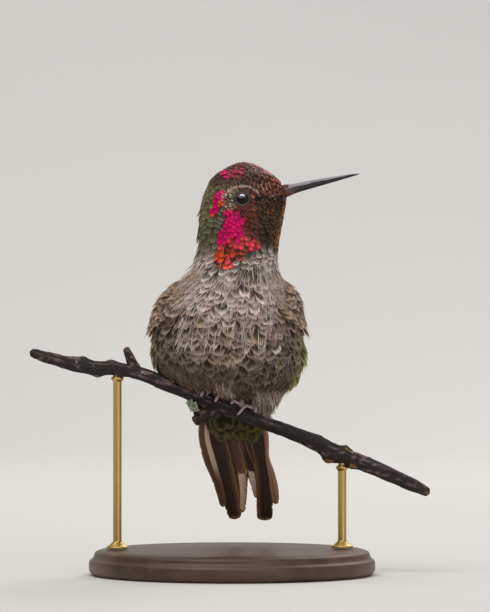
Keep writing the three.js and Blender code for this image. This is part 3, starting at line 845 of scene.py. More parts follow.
def mark_body(marks, look, turned, chance):
    """Lays the markings below the gorget; `turned` is the angle from the front, either way."""
    points = marks.points
    across, _, level = points.T
    marks.lay(np.ones(len(points)), look.breast, look.breast_edge)
    marks.lay(smooth(level, 55.0, 64.0), look.chest, look.chest_edge)
    marks.lay(smooth(level, 65.0, 72.0), look.neck, look.neck_edge)
    marks.lay(smooth(level, 55.0, 44.0), look.belly, look.belly_edge)
    side = smooth(turned, 0.4, 0.85) * smooth(level, 66.0, 60.0)
    marks.lay(0.9 * side, darker(look.belly, 0.85), darker(look.breast_edge, 0.5))
    marks.lay(0.8 * (chance > 0.87) * smooth(level, 73.0, 70.0), look.wash, look.breast_edge, 0.15)
    odd = (chance < 0.1) * smooth(level, 70.0, 66.0) * smooth(level, 49.0, 54.0)
    marks.lay(0.6 * odd, darker(look.belly, 0.7), look.neck_edge)
    flank = smooth(turned, 1.0, 1.4) * smooth(level, 62.0, 54.0)
    marks.lay(flank * 0.5, look.wash, look.wash_edge, 0.15)
    marks.lay(flank * smooth(turned, 1.3, 1.5) * 0.7, look.wash, look.wash_edge, 0.1)
    shoulder = smooth(turned, 0.75, 1.2) * smooth(level, 73.5, 70.0) * smooth(level, 56.0, 60.0)
    marks.lay(shoulder, look.shoulder, look.buff, 0.05)
    far_round = smooth(turned, 1.75, 2.2) + smooth(turned, 1.45, 1.9) * smooth(level, 63.0, 69.0)
    marks.lay(far_round, look.back, look.back_edge, 0.35)
    in_front = smooth(turned, 2.0, 1.7)
    over_perch = level - (38.6 - 0.4 * across)
    marks.lay(smooth(over_perch, 8.5, 3.0) * in_front * 0.8, look.vent, look.belly_edge)
    tufts = smooth(np.hypot((across - 6.8) / 3.4, (level - 38.6) / 3.0), 1.15, 0.8)
    marks.lay(tufts * in_front * (chance > 0.2), look.shoulder, look.buff)
    marks.lay(smooth(over_perch, 0.2, -0.6) * in_front, look.under, look.under_edge, 0.1)


def mark_head(marks, look, chance):
    """Lays the head's markings in its side view: brown crown, olive nape, pale brow, bronze
    scales on the throat, and the magenta and orange flash painted on the scales where they catch the light."""
    points = marks.points
    ahead, aside, level = head_place(points)
    a = ahead + 1.5 * (rough_drift(points, 0.5) - 0.5)
    z = level + 1.4 * (rough_drift(points + 31.0, 0.55) - 0.5)
    head = smooth(z + 1.6 * (chance - 0.5) + 0.25 * (aside - 8), 74.5, 78.0)
    marks.lay(head, look.nape, look.nape_edge, 0.12)
    marks.lay(head * smooth(level + 4 * (chance - 0.5), 87.5, 82.0) * 0.65, look.cheek, look.cheek_edge, 0.05)
    side = smooth(level, 76.0, 79.0) * smooth(a, -4.6, -3.2) * smooth(z, 87.5, 85.5)
    marks.lay(side * 0.8, look.cheek, look.cheek_edge, 0.05)
    throat = smooth(level - gorget_edge(ahead), -0.25, 0.25) * smooth(ahead - gorget_rear(level), -0.3, 0.3)
    throat = throat * np.maximum(smooth(z, 87.6, 86.2), smooth(a, 3.6, 4.8))
    marks.lay(throat, look.throat, look.throat_edge, 0.3)
    dusky = throat * smooth(a, 7.2, 4.6) * smooth(z, 77.0, 78.5)
    marks.lay(dusky * 0.85, look.dusky, look.dusky_edge, 0.35)
    bronze = throat * smooth(ahead, 8.4, 9.8) * smooth(z, 87.0, 84.0)
    marks.lay(bronze * 0.8, look.throat, look.bronze, 0.3)
    low = throat * smooth(a, 4.4, 6.0) * smooth(level, 79.5, 77.0)
    marks.lay(low * 0.8, look.chin, look.throat_edge, 0.25)
    crown = smooth(z + 0.16 * a, 90.7, 91.6) * smooth(z + 0.7 * a, 86.5, 88.5)
    marks.lay(crown, look.crown, look.crown_edge, 0.3)
    marks.lay(crown * smooth(a, 5.0, 8.0), look.forehead, look.forehead_edge, 0.3)
    marks.lay(patch(a, z, (-0.2, 88.6), (2.2, 2.5)), look.cheek, look.brow, 0.0)
    under_lore = patch(ahead, level, (7.6, 87.9), (1.9, 0.4), 28)
    marks.lay(under_lore * 0.5, look.throat, look.brow)
    # painted gold glint on a few random throat scales
    shine = (chance > 0.93) * smooth(a, 4.0, 5.5)
    marks.lay(throat * shine * 0.6, look.throat_edge, look.gold, 0.5)
    mark_iridescence(marks, look, chance)


def mark_fine(marks, look, tip, chance):
    """Lays what is finer than a feather, point by point: the thin pale brow, specks on the tips
    behind the eye and over the bill, the dark lore, the bare corner of the eye and the gold line
    down the middle of the throat, which is painted rim light along its front edge. `tip` is 1 at the end of a
    feather and 0 elsewhere."""
    ahead, aside, level = head_place(marks.points)
    side = smooth(aside, 1.6, 2.6)
    arch = np.hypot((ahead - 2.9) / 3.95, (level - 88.9) / 2.5) + 0.02 * np.sin(ahead * 5.0)
    brow = smooth(abs(arch - 1.0), 0.15, 0.06) * smooth(level, 88.9, 89.5) * smooth(ahead, 7.2, 6.2)
    marks.lay(brow * side * (0.72 + 0.28 * (chance > 0.3)), look.brow, look.brow_edge)
    specks = patch(ahead, level, (-0.5, 88.2), (1.5, 2.5), 12) * (chance > 0.25) * (0.15 + 0.85 * tip)
    marks.lay(specks * side, look.brow_edge, look.brow_edge)
    dots = patch(ahead, level, (8.2, 91.5), (2.1, 1.25), -14) * (chance > 0.35)
    marks.lay(dots * side, marks.centre, look.freckle)
    lore = patch(ahead, level, (6.35, 88.5), (0.75, 0.6), -20, 0.3)
    lore = np.maximum(lore, 0.75 * patch(ahead, level, (8.3, 89.0), (1.9, 0.2), 15, 0.5))
    marks.lay(lore * side, look.lore, look.lore)
    corner = patch(ahead, level, (5.25, 88.95), (0.7, 0.26), -24, 0.3)
    marks.lay(corner * side, look.corner, look.corner)
    gape = patch(ahead, level, (9.8, 89.3), (1.3, 0.14), 14, 0.5)
    marks.lay(gape * 0.8, look.brow, look.brow)
    # painted rim light: a gold line down the throat's middle, along its front edge
    middle = smooth(aside, 2.2, 0.7) * smooth(ahead, 8.6, 9.4) * smooth(level, 88.6, 86.5)
    middle = middle * smooth(level, 75.0, 80.0)
    marks.lay(middle * (0.35 + 0.65 * tip) * (0.4 + 0.6 * (chance > 0.4)), look.gold, look.gold, 0.35)


def mark_iridescence(marks, look, chance):
    """Lays the painted flash of the iridescent scales, where they catch the light: magenta high on the
    gorget, then salmon and orange among brown ones down to its points, and spots behind the eye and on the
    crown."""
    ahead, aside, level = head_place(marks.points)
    wander = 0.5 * (rough_drift(marks.points + 11.0, 0.6) - 0.5)
    # painted flash: where the gorget's scales catch the light
    hot = patches(ahead, level, ((0.75, 82.0), (2.45, 3.6), 4), ((-1.8, 79.7), (1.8, 1.7)))
    low = [((2.0, 77.6), (3.2, 2.3), -8), ((4.7, 76.6), (1.9, 1.5)), ((-0.7, 75.2), (2.7, 2.9), -14)]
    warm = patches(ahead, level, *low, ((-1.1, 73.2), (1.0, 1.4)))
    spread = 0.5 + 0.9 * (chance - 0.5)
    marks.lay((warm > 0) & (warm + wander > spread * 0.8), look.orange, look.orange_edge, 0.5)
    mood = rough_drift(marks.points + 23.0, 0.9)
    salmon = (warm > 0.05) * (mood + 0.05 * (level - 76.0) > 0.52)
    marks.lay(salmon, look.salmon, look.salmon_edge, 0.5)
    marks.lay((warm > 0.05) * (chance > 0.8) * smooth(level, 79.0, 76.5), look.dusky, look.orange, 0.4)
    marks.lay((warm > 0.05) * (chance < 0.2) * (level < 75.0), look.throat, look.orange_edge, 0.4)
    marks.lay((warm > 0.3) * (chance < 0.16) * (level > 76.0), look.magenta, look.magenta_edge, 0.5)
    marks.lay((hot > 0) & (hot + wander > spread * 0.8), look.magenta, look.magenta_edge, 0.55)
    spots = patches(ahead, level, ((-3.1, 88.7), (1.35, 1.8)), ((-4.2, 85.9), (0.9, 1.3)))
    marks.lay(spots > spread, look.magenta, look.magenta_edge, 0.55)
    ember = patches(ahead, level, ((-2.2, 86.8), (1.0, 1.1)), ((-4.1, 84.6), (1.0, 0.7)))
    marks.lay(ember > spread, look.orange, look.orange_edge, 0.5)
    rear = patch(ahead, level, (-2.1, 94.4), (1.5, 1.4)) > spread
    marks.lay(rear, look.magenta, look.magenta_edge, 0.5)
    rose = patch(ahead, level, (0.5, 94.9), (2.3, 1.2)) > spread
    marks.lay(rose * 0.8, look.rose, look.rose_edge, 0.45)
    # painted glint along the top of the crown
    ridge = smooth(level, 96.3, 97.0) * (chance > 0.35)
    marks.lay(ridge * 0.7, look.rose, look.rose_edge, 0.4)
    # painted glint along the forehead's profile
    profile = smooth(aside, 2.2, 0.9) * smooth(ahead, 1.0, 4.0) * smooth(level, 91.0, 92.5) * (chance > 0.3)
    marks.lay(profile * 0.6, look.rose, look.orange, 0.4)
    brow_glint = patch(ahead, level, (10.4, 93.4), (1.5, 1.7)) * (chance > 0.4)
    marks.lay(brow_glint * 0.8, look.rose, look.orange, 0.5)


def markings(look, points, angle, chance):
    """Centre colour, rim colour and glint of the coat at points."""
    marks = Marks(points)
    turned = np.abs((angle + np.pi) % (2 * np.pi) - np.pi)
    mark_body(marks, look, turned, chance)
    mark_head(marks, look, chance)
    return marks


# ------------------------------------------------------------------ coat


def vane_template(columns, rows, barbs):
    """A feather in its own measures: share across, share along, share of the camber, fraying and
    rim of each point, and its faces. It is a cambered vane over a flat underside, with thin
    spikes as free barbs round the tip."""
    across, along = (part.ravel() for part in np.meshgrid(np.linspace(-1, 1, columns), rows))
    shaft = 0.25 * np.exp(-((across / 0.2) ** 2))
    height = (1 - across**2 + shaft) * np.interp(along, [0, 0.5, 1], [1, 1, 0.25])
    rim = (np.abs(across) == 1) | (along == 1) | (along == 0)
    fray = (along == 1) * 1.0
    index = np.arange(len(rows) * columns).reshape(len(rows), columns)
    left, right = index[:, 0], index[:, -1]
    faces = [
        grid_faces(len(rows), columns)[:, ::-1],
        np.stack([left[1:-2], right[1:-2], right[2:-1], left[2:-1]], axis=-1),
        np.concatenate([index[0], [right[1], left[1]]])[None],
        np.concatenate([[left[-2], right[-2]], index[-1, ::-1]])[None],
    ]
    for number, middle in enumerate(np.linspace(-0.88, 0.88, barbs)):
        a = len(rows) * columns + 4 * number
        across = np.append(across, [middle - 0.045, middle + 0.045, middle, middle * 1.06])
        along = np.append(along, [0.88, 0.88, 0.88, 1.12])
        height = np.append(height, [0.1, 0.1, 0.7, 0.2])
        fray = np.append(fray, [0.0, 0.0, 0.0, 2.0])
        rim = np.append(rim, [True] * 4)
        quill = [[a, a + 1, a + 3], [a + 1, a + 2, a + 3], [a + 2, a, a + 3], [a, a + 2, a + 1]]
        faces.append(np.array(quill))
    return {"across": across, "along": along, "height": height, "rim": rim, "fray": fray, "faces": faces}


def vane_width(along):
    """Share of a vane's full width at each share of its length."""
    return np.interp(along, [0.0, 0.25, 0.55, 0.9, 1.3], [0.32, 0.78, 1.0, 1.0, 0.9])


class Tufts:
    """Roots of many feathers on a chart, with the size and lie of each."""

    def __init__(self, chart, x, y, heading, length, width):
        self.chart, self.x, self.y = chart, x, y
        self.heading = heading
        self.length, self.width = length, width

    def grown(self, template, rng, root, tip, camber, fray=0.05, round_tip=0.4, taper=0.0):
        """Points (feathers, corners, 3). A corner moves over the surface by its share along and
        by the sine of its share across, held back at the sides by the cosine, which makes a
        round tip; it stands off by a height that climbs from root to tip."""
        along, across = template["along"][None, :], template["across"][None, :]
        count = len(self.x)
        jitter = 1 + fray * template["fray"] * rng.normal(size=(count, along.shape[1]))
        round_tip = np.broadcast_to(round_tip, (count,))[:, None]
        bend = 0.5 * np.pi * across
        half = 0.5 * self.width[:, None]
        ahead = self.length[:, None] * along * jitter - half * round_tip * (1 - np.cos(bend)) * along**4
        aside = half * np.sin(bend) * vane_width(along) * (1 - taper * along)
        x, y = self.x[:, None], self.y[:, None]
        normal = self.chart.normal(self.x, self.y)
        left = np.cross(normal, self.heading)
        shift = ahead[..., None] * self.heading[:, None] + aside[..., None] * left[:, None]
        x, y = self.chart.moved(x, y, shift)
        share = ahead / self.length[:, None]
        climb = np.broadcast_to(root, (count,))[:, None] * (1 - share)
        climb = climb + np.broadcast_to(tip, (count,))[:, None] * share
        height = climb + np.broadcast_to(camber, (count,))[:, None] * template["height"]
        return self.chart.at(x, y) + height[..., None] * self.chart.normal(x, y)


# How far a feather's patch spreads over the bake map.
PATCH = 0.003


def write_tufts(name, finish, template, points, marks, patch_at, rng, fine=None):
    """Writes feathers as one piece, with each feather's colours and its patch of the bake map.
    `fine` gives the settings for marks that are laid point by point."""
    count, corners, _ = points.shape
    offset = (np.arange(count) * corners)[:, None, None]
    faces = [(block[None] + offset).reshape(-1, block.shape[1]) for block in template["faces"]]
    vane = np.stack([template["across"] * 0.5 + 0.5, template["along"]], axis=-1)
    shade = rng.normal(1.0, 0.1, count).clip(0.7, 1.3)[:, None]
    repeat = lambda value: np.repeat(value, corners, axis=0)
    whole = Marks(points.reshape(-1, 3))
    whole.centre, whole.glint = repeat(marks.centre * shade), repeat(marks.glint)
    whole.rim = repeat(marks.rim * shade * rng.uniform(0.66, 1.12, (count, 1)))
    if fine is not None:
        mark_fine(whole, fine, np.tile(template["along"] > 0.9, count), repeat(rng.random(count)))
    bake = (patch_at[:, None] + PATCH * (np.clip(vane, 0, 1) - 0.5)[None]).reshape(-1, 2)
    maps = {"Vane": np.tile(vane, (count, 1)), "OFBake": bake}
    tints = {"tint": whole.centre, "rim": whole.rim, "glint": whole.glint}
    return write_piece(name, whole.points, faces, finish, maps, tints, np.tile(template["rim"], count))


def swung(lie, normals, yaw):
    """The lie turned about the normals by small angles."""
    return unit(lie + np.cross(normals, lie) * yaw[:, None])


def throw(points, gap, heading, squeeze=0.6):
    """Keeps places that stand at least their gap from every kept one; along the lie the gap is
    shorter, by the square root of 1 + squeeze. Returns the kept places' numbers."""
    kept = np.empty((len(points), 3))
    chosen = []
    squeeze = np.broadcast_to(squeeze, (len(points),))
    for number, (point, reach, lie, tight) in enumerate(zip(points, gap, heading, squeeze)):
        step = kept[: len(chosen)] - point
        along = step @ lie
        far = (step**2).sum(-1) + tight * along**2
        if len(chosen) and far.min() < reach * reach:
            continue
        kept[len(chosen)] = point
        chosen.append(number)
    return np.array(chosen)


def lie_of_coat(points, normals, s, angle):
    """The way the feathers point: on the head away from the bill's base and towards the breast,
    parting round the eye, and lower down the body."""
    from_bill = points - in_head(9.6, 0.0, 90.2)
    to_chest = np.array([0.5, -3.0, 64.0]) - points
    pull = lambda way: way / np.linalg.norm(way, axis=-1, keepdims=True) ** 1.6
    flow = unit(pull(from_bill) + pull(to_chest))
    from_eye, away = eye_distance(points)
    bend = (1.9 / np.maximum(from_eye, 1.9))[:, None] ** 2 * smooth(points[:, 2], 82.0, 84.0)[:, None]
    flow = flow * (1 + bend) - 2 * bend * (flow * away).sum(-1, keepdims=True) * away
    flow = blend(down_body(s, angle), unit(flow), smooth(points[:, 2], 73.0, 80.0))
    return square_to(normals, flow)


# The levels above which a place is on the nape or the head, how far the lids reach from the eye's
# middle, how many places are tried on the head, and the s where its thrown feathers give way to
# the body's rows. Then the feathers' spacing by level, on the body and on the head.
NAPE_LEVEL, HEAD_LEVEL = 74.0, 76.0
LIDS_REACH = 1.66
HEAD_TRIES = 90000
HEAD_END = 0.42
ROW_LEVELS = [30.0, 36.0, 40.0, 50.0, 66.0, 72.0, 76.0]
ROW_GAPS = [3.9, 3.6, 2.5, 2.6, 2.5, 2.1, 1.6]
HEAD_LEVELS = [76, 80, 85, 91, 98]
HEAD_GAPS = [1.3, 1.1, 0.95, 0.8, 0.85]


def feather_gap(points):
    """Spacing of the feathers: fine round the bill and eyes, broad on the breast and back."""
    ahead, _, level = head_place(points)
    gap = np.interp(level, ROW_LEVELS[:-1] + HEAD_LEVELS, ROW_GAPS[:-1] + HEAD_GAPS)
    from_bill = np.linalg.norm(points - in_head(9.8, 0.0, 90.0), axis=-1)
    from_eye, _ = eye_distance(points)
    fine = 1 - 0.42 * np.exp(-((from_bill / 4.0) ** 2))
    fine = fine * (1 - 0.35 * np.exp(-(((from_eye - 2.2) / 1.6) ** 2)))
    nape = 1 + 0.35 * smooth(ahead, -1.5, -4.0) * smooth(level, 74.0, 78.0)
    gap = gap * np.where(level > HEAD_LEVEL, fine, 1.0) * nape
    return np.where(in_gorget(points), np.minimum(gap, 1.2), gap)


def head_roots(rng):
    """Places on the head, s and angle, thrown evenly and then thinned to the feathers' spacing."""
    s = rng.uniform(0.004, HEAD_END, HEAD_TRIES)
    angle = rng.uniform(-np.pi, np.pi, HEAD_TRIES)
    points = plumage(s, angle)
    beside = plumage(s + 0.002, angle) - plumage(s - 0.002, angle)
    area = np.linalg.norm(np.cross(beside, plumage(s, angle + 0.01) - points), axis=-1)
    gap = feather_gap(points)
    weight = area / gap**2
    wanted = rng.random(HEAD_TRIES) * np.percentile(weight, 99.5) < weight
    ahead, aside, level = head_place(points)
    from_eye, _ = eye_distance(points)
    on_bill = (ahead > 9.0) & (np.hypot(aside / 1.25, (level - 90.0) / 1.5) < 1.0)
    wanted &= ~on_bill & ~((from_eye < 1.8) & (aside > 4.0) & (level > 80))
    s, angle, points, gap = s[wanted], angle[wanted], points[wanted], gap[wanted]
    lie = lie_of_coat(points, body_normal(s, angle), s, angle)
    kept = throw(points, gap, lie, 0.7)
    return s[kept], angle[kept]


def body_roots(rng):
    """Places on the neck and body, s and angle, in staggered rows round it: each row a share of
    the feathers' spacing below the last, its places evenly apart, and all moved a little."""
    turn = np.linspace(-np.pi, np.pi, 361)
    s, rows = HEAD_END, []
    while s < 0.985:
        ring = plumage(np.full(turn.shape, s), turn)
        round_it = np.concatenate([[0.0], np.cumsum(np.linalg.norm(np.diff(ring, axis=0), axis=1))])
        gap = float(np.interp(ring[:, 2].mean(), ROW_LEVELS, ROW_GAPS))
        count = max(5, round(round_it[-1] / gap))
        along = (np.arange(count) + 0.5 * (len(rows) % 2) + rng.normal(0.0, 0.12, count)) / count
        angle = np.interp(along % 1.0 * round_it[-1], round_it, turn)
        down = np.linalg.norm(plumage(s + 0.01, 0.0) - plumage(s, 0.0)) / 0.01
        pitch = gap * float(np.interp(ring[:, 2].mean(), [36.0, 41.0], [0.75, 0.56])) / down
        rows.append((s + pitch * rng.normal(0.0, 0.18, count), angle))
        s += pitch
    return tuple(np.concatenate(part) for part in zip(*rows))


# The level of the belly's hem over the twig, at each x.
HEM_X = [-16.0, -9.9, -3.9, -3.2, 0.2, 0.7, 3.2, 4.5, 10.0]
HEM = [47.0, 43.9, 43.5, 41.0, 41.0, 41.6, 41.4, 39.5, 37.5]


def above_hem(points, lie, size):
    """Sizes cut so that no feather of the belly hangs past the hem."""
    tips = points + lie * size[:, None]
    hem = np.interp(tips[:, 0], HEM_X, HEM)
    drop = np.maximum(points[:, 2] - tips[:, 2], 0.1)
    share = np.clip((points[:, 2] - hem) / drop, 0.35, 1.0)
    here = (points[:, 1] < 3.0) & (points[:, 2] > 39.0) & (points[:, 2] < 52.0)
    return np.where(here, size * share, size)


def coat_roots(seed):
    """Feather roots over the whole body: s, angle, place, normal, lie and spacing of each."""
    rng = np.random.default_rng(seed)
    parts = zip(head_roots(rng), body_roots(rng))
    s, angle = (np.concatenate(part) for part in parts)
    s = np.clip(s, 0.004, 0.99)
    points, normals = plumage(s, angle), body_normal(s, angle)
    return s, angle, points, normals, lie_of_coat(points, normals, s, angle), feather_gap(points)


# ------------------------------------------------------------------ finishes


def feather_finish(name, glow, barb_lines, soft, rim, crescent, deep, fuzz=0.24, edge_tint="rim", mottle=0.2):
    """Feathers: a paler rim round the tip of each vane, a dark crescent inside it, painted shade where the
    next feather lies over it, oblique barb lines, and scales that catch the light where the
    glint is high."""
    f = Finish(name, specular_ior_level=0.25)
    across, along = f.along("Vane")
    aside = abs(across - 0.5) * 2.0
    tip = (along - 0.45).largest(0.0) / 0.55
    reach = (aside * aside * 0.72 + tip * tip) ** 0.5
    barbs = ((along - 0.45 * aside) * barb_lines).sine()
    uneven = f.noise(900.0, 3.0)
    combed = f.combed(across * 26.0, along * 3.0, 3.0)
    edge = (reach + (uneven - 0.5) * mottle + (combed - 0.5) * fuzz).step(*rim)
    base = f.mixed(edge, f.attribute("tint"), f.attribute(edge_tint))
    dark = reach.step(rim[0] - 0.4, rim[0] - 0.1) - reach.step(rim[0] - 0.05, rim[0] + 0.15)
    # painted shade: each vane darker towards its root, where the feather above lies over it; deep sets how
    # dark
    painted_shade_under_overlap = (along - 0.1 * aside * aside).step(0.56, 0.84) * deep + (1.0 - deep)
    shade = (barbs * 0.06 + 0.94) * (f.noise(260.0, 2.0) * 0.3 + 0.85) * painted_shade_under_overlap
    shade = shade * (1.0 - dark * crescent)
    glint = f.value("glint")
    rough = (1.0 - glint * glow) * soft * (uneven * 0.2 + 0.9)
    relief = barbs * 0.5 + uneven * 0.5
    return f.done(f.shaded(base, shade), rough, glint * glow, height=relief, strength=0.25, distance=0.05)


def skin_finish():
    """Down and skin under the feathers, in the coat's own colours but darker."""
    f = Finish("plumage_skin_finish", roughness=0.9)
    down = f.noise(700.0, 4.0)
    shade = down * 0.5 + 0.35
    return f.done(f.shaded(f.attribute("tint"), shade), height=down, strength=0.5, distance=0.1)


def quill_finish(name, dark, pale, edge, sheen, rusty=None):
    """Flight and tail feathers: dark vane, paler inner web and rim, a glossy shaft and barbs."""
    f = Finish(name)
    across, along = f.along("Vane")
    aside = abs(across - 0.5) * 2.0
    shaft = 1.0 - aside.step(0.03, 0.09)
    barbs = ((along - 0.12 * aside) * 420.0).sine()
    uneven = f.noise(350.0, 3.0)
    combed = f.combed(across * 9.0, along * 40.0, 4.0)
    rim = aside.step(0.8, 0.93).largest(along.step(0.958, 0.985))
    inner = f.value("inner")
    base = f.mixed((inner + (combed - 0.5) * 0.5 * inner).step(0.0, 1.0), dark, pale)
    if rusty is not None:
        base = f.mixed(f.value("rust") * (combed * 0.6 + 0.6), base, rusty)
    base = f.mixed((rim + (uneven - 0.5) * 0.5).step(0.3, 0.9), base, edge)
    base = f.mixed(shaft * 0.8, base, tone(74, 52, 40))
    shade = (barbs * 0.08 + 0.92) * (f.noise(180.0, 2.0) * 0.35 + 0.82) * (combed * 0.3 + 0.85)
    rough, relief = 0.5 + uneven * 0.2 - shaft * 0.2, barbs + shaft * 2.0
    metallic = sheen * (1.0 - rim)
    return f.done(f.shaded(base, shade), rough, metallic, height=relief, strength=0.25, distance=0.05)


def bill_finish(look):
    """Horn: fine lengthwise grain, a painted highlight along the top of the upper half, pinkish at the base
    underneath.
    """
    f = Finish("bill_horn", coat_weight=0.08, coat_roughness=0.3, specular_ior_level=0.3)
    grain = f.noise(1.0, 4.0, f.stretched((120.0, 900.0, 900.0), (0.0, 0.2, HEAD_TURN)))
    blotch = f.noise(420.0, 3.0)
    # painted highlight along the top of the bill, broken up by the grain and blotches
    worn = f.value("worn") + (grain + blotch - 1.0) * 0.9
    base = f.mixed(worn.step(0.25, 0.95), look.horn, look.horn_highlight)
    base = f.shaded(f.mixed(f.value("flush"), base, look.flush), grain * 0.4 + 0.8)
    return f.done(base, 0.28 + grain * 0.25, height=grain, strength=0.25, distance=0.06)


def eye_finish(look, side):
    """A dark brown iris round a black pupil, under a film that is wettest high on the cornea, where a pale
    bluish sheen is also painted into the colour as a painted reflection.
    """
    film = {"coat_weight": 1.0, "coat_ior": 2.5, "coat_roughness": 0.05}
    f = Finish(f"eye_{side}_wet", roughness=0.3, specular_ior_level=0.0, **film)
    _, along = f.along("Gaze")
    wet = f.value("wet")
    iris = along.step(0.30, 0.34) * (1.0 - along.step(0.5, 0.62))
    base = f.mixed(iris * (f.noise(1500.0, 3.0) * 0.6 + 0.5), tone(6, 5, 5), look.iris)
    # painted reflection: a pale bluish sheen mixed into the colour where the film is wettest
    base = f.mixed(wet * (f.noise(900.0, 2.0) * 0.8 + 0.1), base, look.sheen)
    return f.done(base, wet=wet * 0.93 + 0.07)


def lid_finish():
    """Bare wrinkled skin with pale beads of tiny feathers."""
    f = Finish("lid_skin", roughness=0.55)
    grain = f.noise(2200.0, 4.0)
    base = f.shaded(f.attribute("tint"), grain * 0.5 + 0.75)
    return f.done(base, height=grain, strength=0.4, distance=0.05)


def toe_finish(look):
    """Scaly grey-pink skin, with dark glossy claws."""
    f = Finish("toe_skin")
    claw, plates = f.value("claw"), f.cells(2600.0)
    skin = f.mixed(f.noise(1800.0, 3.0), darker(look.toe, 0.7), look.toe)
    base = f.shaded(f.mixed(claw.step(0.4, 0.6), skin, look.claw), plates * 0.4 + 0.7)
    return f.done(base, 0.6 - claw * 0.32, height=(1.0 - claw) * plates, strength=0.5, distance=0.06)


def bark_finish(look):
    """Bark: dark furrows, grey ridges that are partly weathered and partly a painted highlight, ochre crust
    and green dust where it is told.
    """
    f = Finish("twig_bark")
    grain = f.noise(1.0, 5.0, f.stretched((420.0, 1100.0, 1100.0), (0.0, -0.33, 0.0)))
    spots = f.noise(620.0, 5.0)
    # ridges painted paler: partly weathering, partly painted highlight
    weathered_and_painted_highlight = f.value("ridge") * 0.6 + (grain + spots - 1.0) * 1.1
    base = f.mixed(weathered_and_painted_highlight.step(0.25, 0.95), look.bark, look.bark_weathered_and_painted_highlight)
    base = f.mixed((f.value("crust") + (spots - 0.5) * 1.5).step(0.36, 0.75), base, look.crust)
    base = f.mixed((spots - 0.12 * grain).step(0.62, 0.7) * 0.5, base, look.lichen)
    base = f.mixed(f.value("wood").step(0.4, 0.6), base, look.wood)
    base = f.shaded(base, grain * 0.6 + 0.6)
    return f.done(base, 0.72 + spots * 0.2, height=grain + spots, strength=0.6, distance=0.15)


def lichen_finish(look):
    """Pale grey-green lichen, powdery and darker in its folds."""
    f = Finish("twig_lichen", roughness=0.92)
    powder = f.noise(1200.0, 4.0)
    base = f.mixed(powder.step(0.35, 0.7), look.lichen, darker(look.lichen, 0.6))
    base = f.shaded(base, f.value("pale") * (powder * 0.3 + 0.8))
    return f.done(base, height=powder, strength=0.5, distance=0.08)


def walnut_finish(look):
    """Turned walnut: soft growth bands, long streaks and open pores, under thin oil."""
    f = Finish("walnut", coat_weight=0.18, coat_roughness=0.3)
    warp = f.noise(1.0, 3.0, f.stretched((12.0, 45.0, 45.0)))
    band = (f.wire(f.node("ShaderNodeSeparateXYZ", i0=f.place()), 1) * 210.0 + warp * 9.0).sine()
    streaks = f.noise(1.0, 4.0, f.stretched((22.0, 420.0, 420.0)))
    pores = f.noise(1.0, 4.0, f.stretched((120.0, 1400.0, 1400.0)))
    figure = band * 0.12 + streaks * 0.7 + warp * 0.3
    base = f.mixed(figure.step(0.2, 0.85), look.walnut, look.walnut_light)
    base = f.shaded(base, pores.step(0.3, 0.5) * 0.25 + 0.75)
    return f.done(base, 0.42 + pores * 0.15, height=pores.step(0.25, 0.5), strength=0.2, distance=0.08)


def brass_finish(look):
    """Satin brass, drawn lengthwise, with faint tarnish."""
    f = Finish("satin_brass", metallic=1.0)
    drawn = f.noise(1.0, 3.0, f.stretched((2500.0, 2500.0, 60.0)))
    cloud = f.noise(90.0, 3.0)
    base = f.mixed(cloud.step(0.45, 0.75) * 0.5, look.brass, darker(look.brass, 0.55))
    return f.done(base, 0.26 + drawn * 0.14 + cloud * 0.1, height=drawn, strength=0.08, distance=0.03)


# ------------------------------------------------------------------ skin

# The levels at which the depth of the skin and of the feathers' roots below the plumage is set.
DEPTH_LEVELS = [31, 36, 44, 68, 77]


def skin_points(look, rows, columns):
    """The plumage drawn in by the coat's depth, with a hollow for each eye: its rings, then the
    crown's point and the undertail's."""
    turn = np.linspace(-np.pi, np.pi, columns, endpoint=False)
    s, angle = np.meshgrid(np.linspace(0.0, 1.0, rows)[1:-1], turn, indexing="ij")
    s, angle = np.append(s, [0.0, 1.0]), np.append(angle, [0.0, 0.0])
    points = plumage(s, angle)
    level = points[:, 2]
    depth = np.interp(level, DEPTH_LEVELS, [0.7, 0.8, 1.0, look.body_depth, look.head_depth])
    from_eye, _ = eye_distance(points)
    _, aside, _ = head_place(points)
    socket = (1 - smooth(from_eye, 1.25, 2.2)) * smooth(aside, 3.5, 5.0) * smooth(level, 80.0, 82.0)
    normals = body_normal(s, angle)
    points = points - normals * (depth + 1.7 * socket)[:, None]
    return s, angle, points


# ------------------------------------------------------------------ wing and tail quills


# The tail's plane: a point on it, its lean, the step between feathers, how far each arches, and how
# far the wings lie behind it.
TAIL = {"y": 9.8, "z": 37.6, "lean": math.radians(31), "layer": 0.42, "arch": 0.6, "back": 1.25}
TAIL_FACE = np.array([0.0, -math.cos(TAIL["lean"]), -math.sin(TAIL["lean"])])
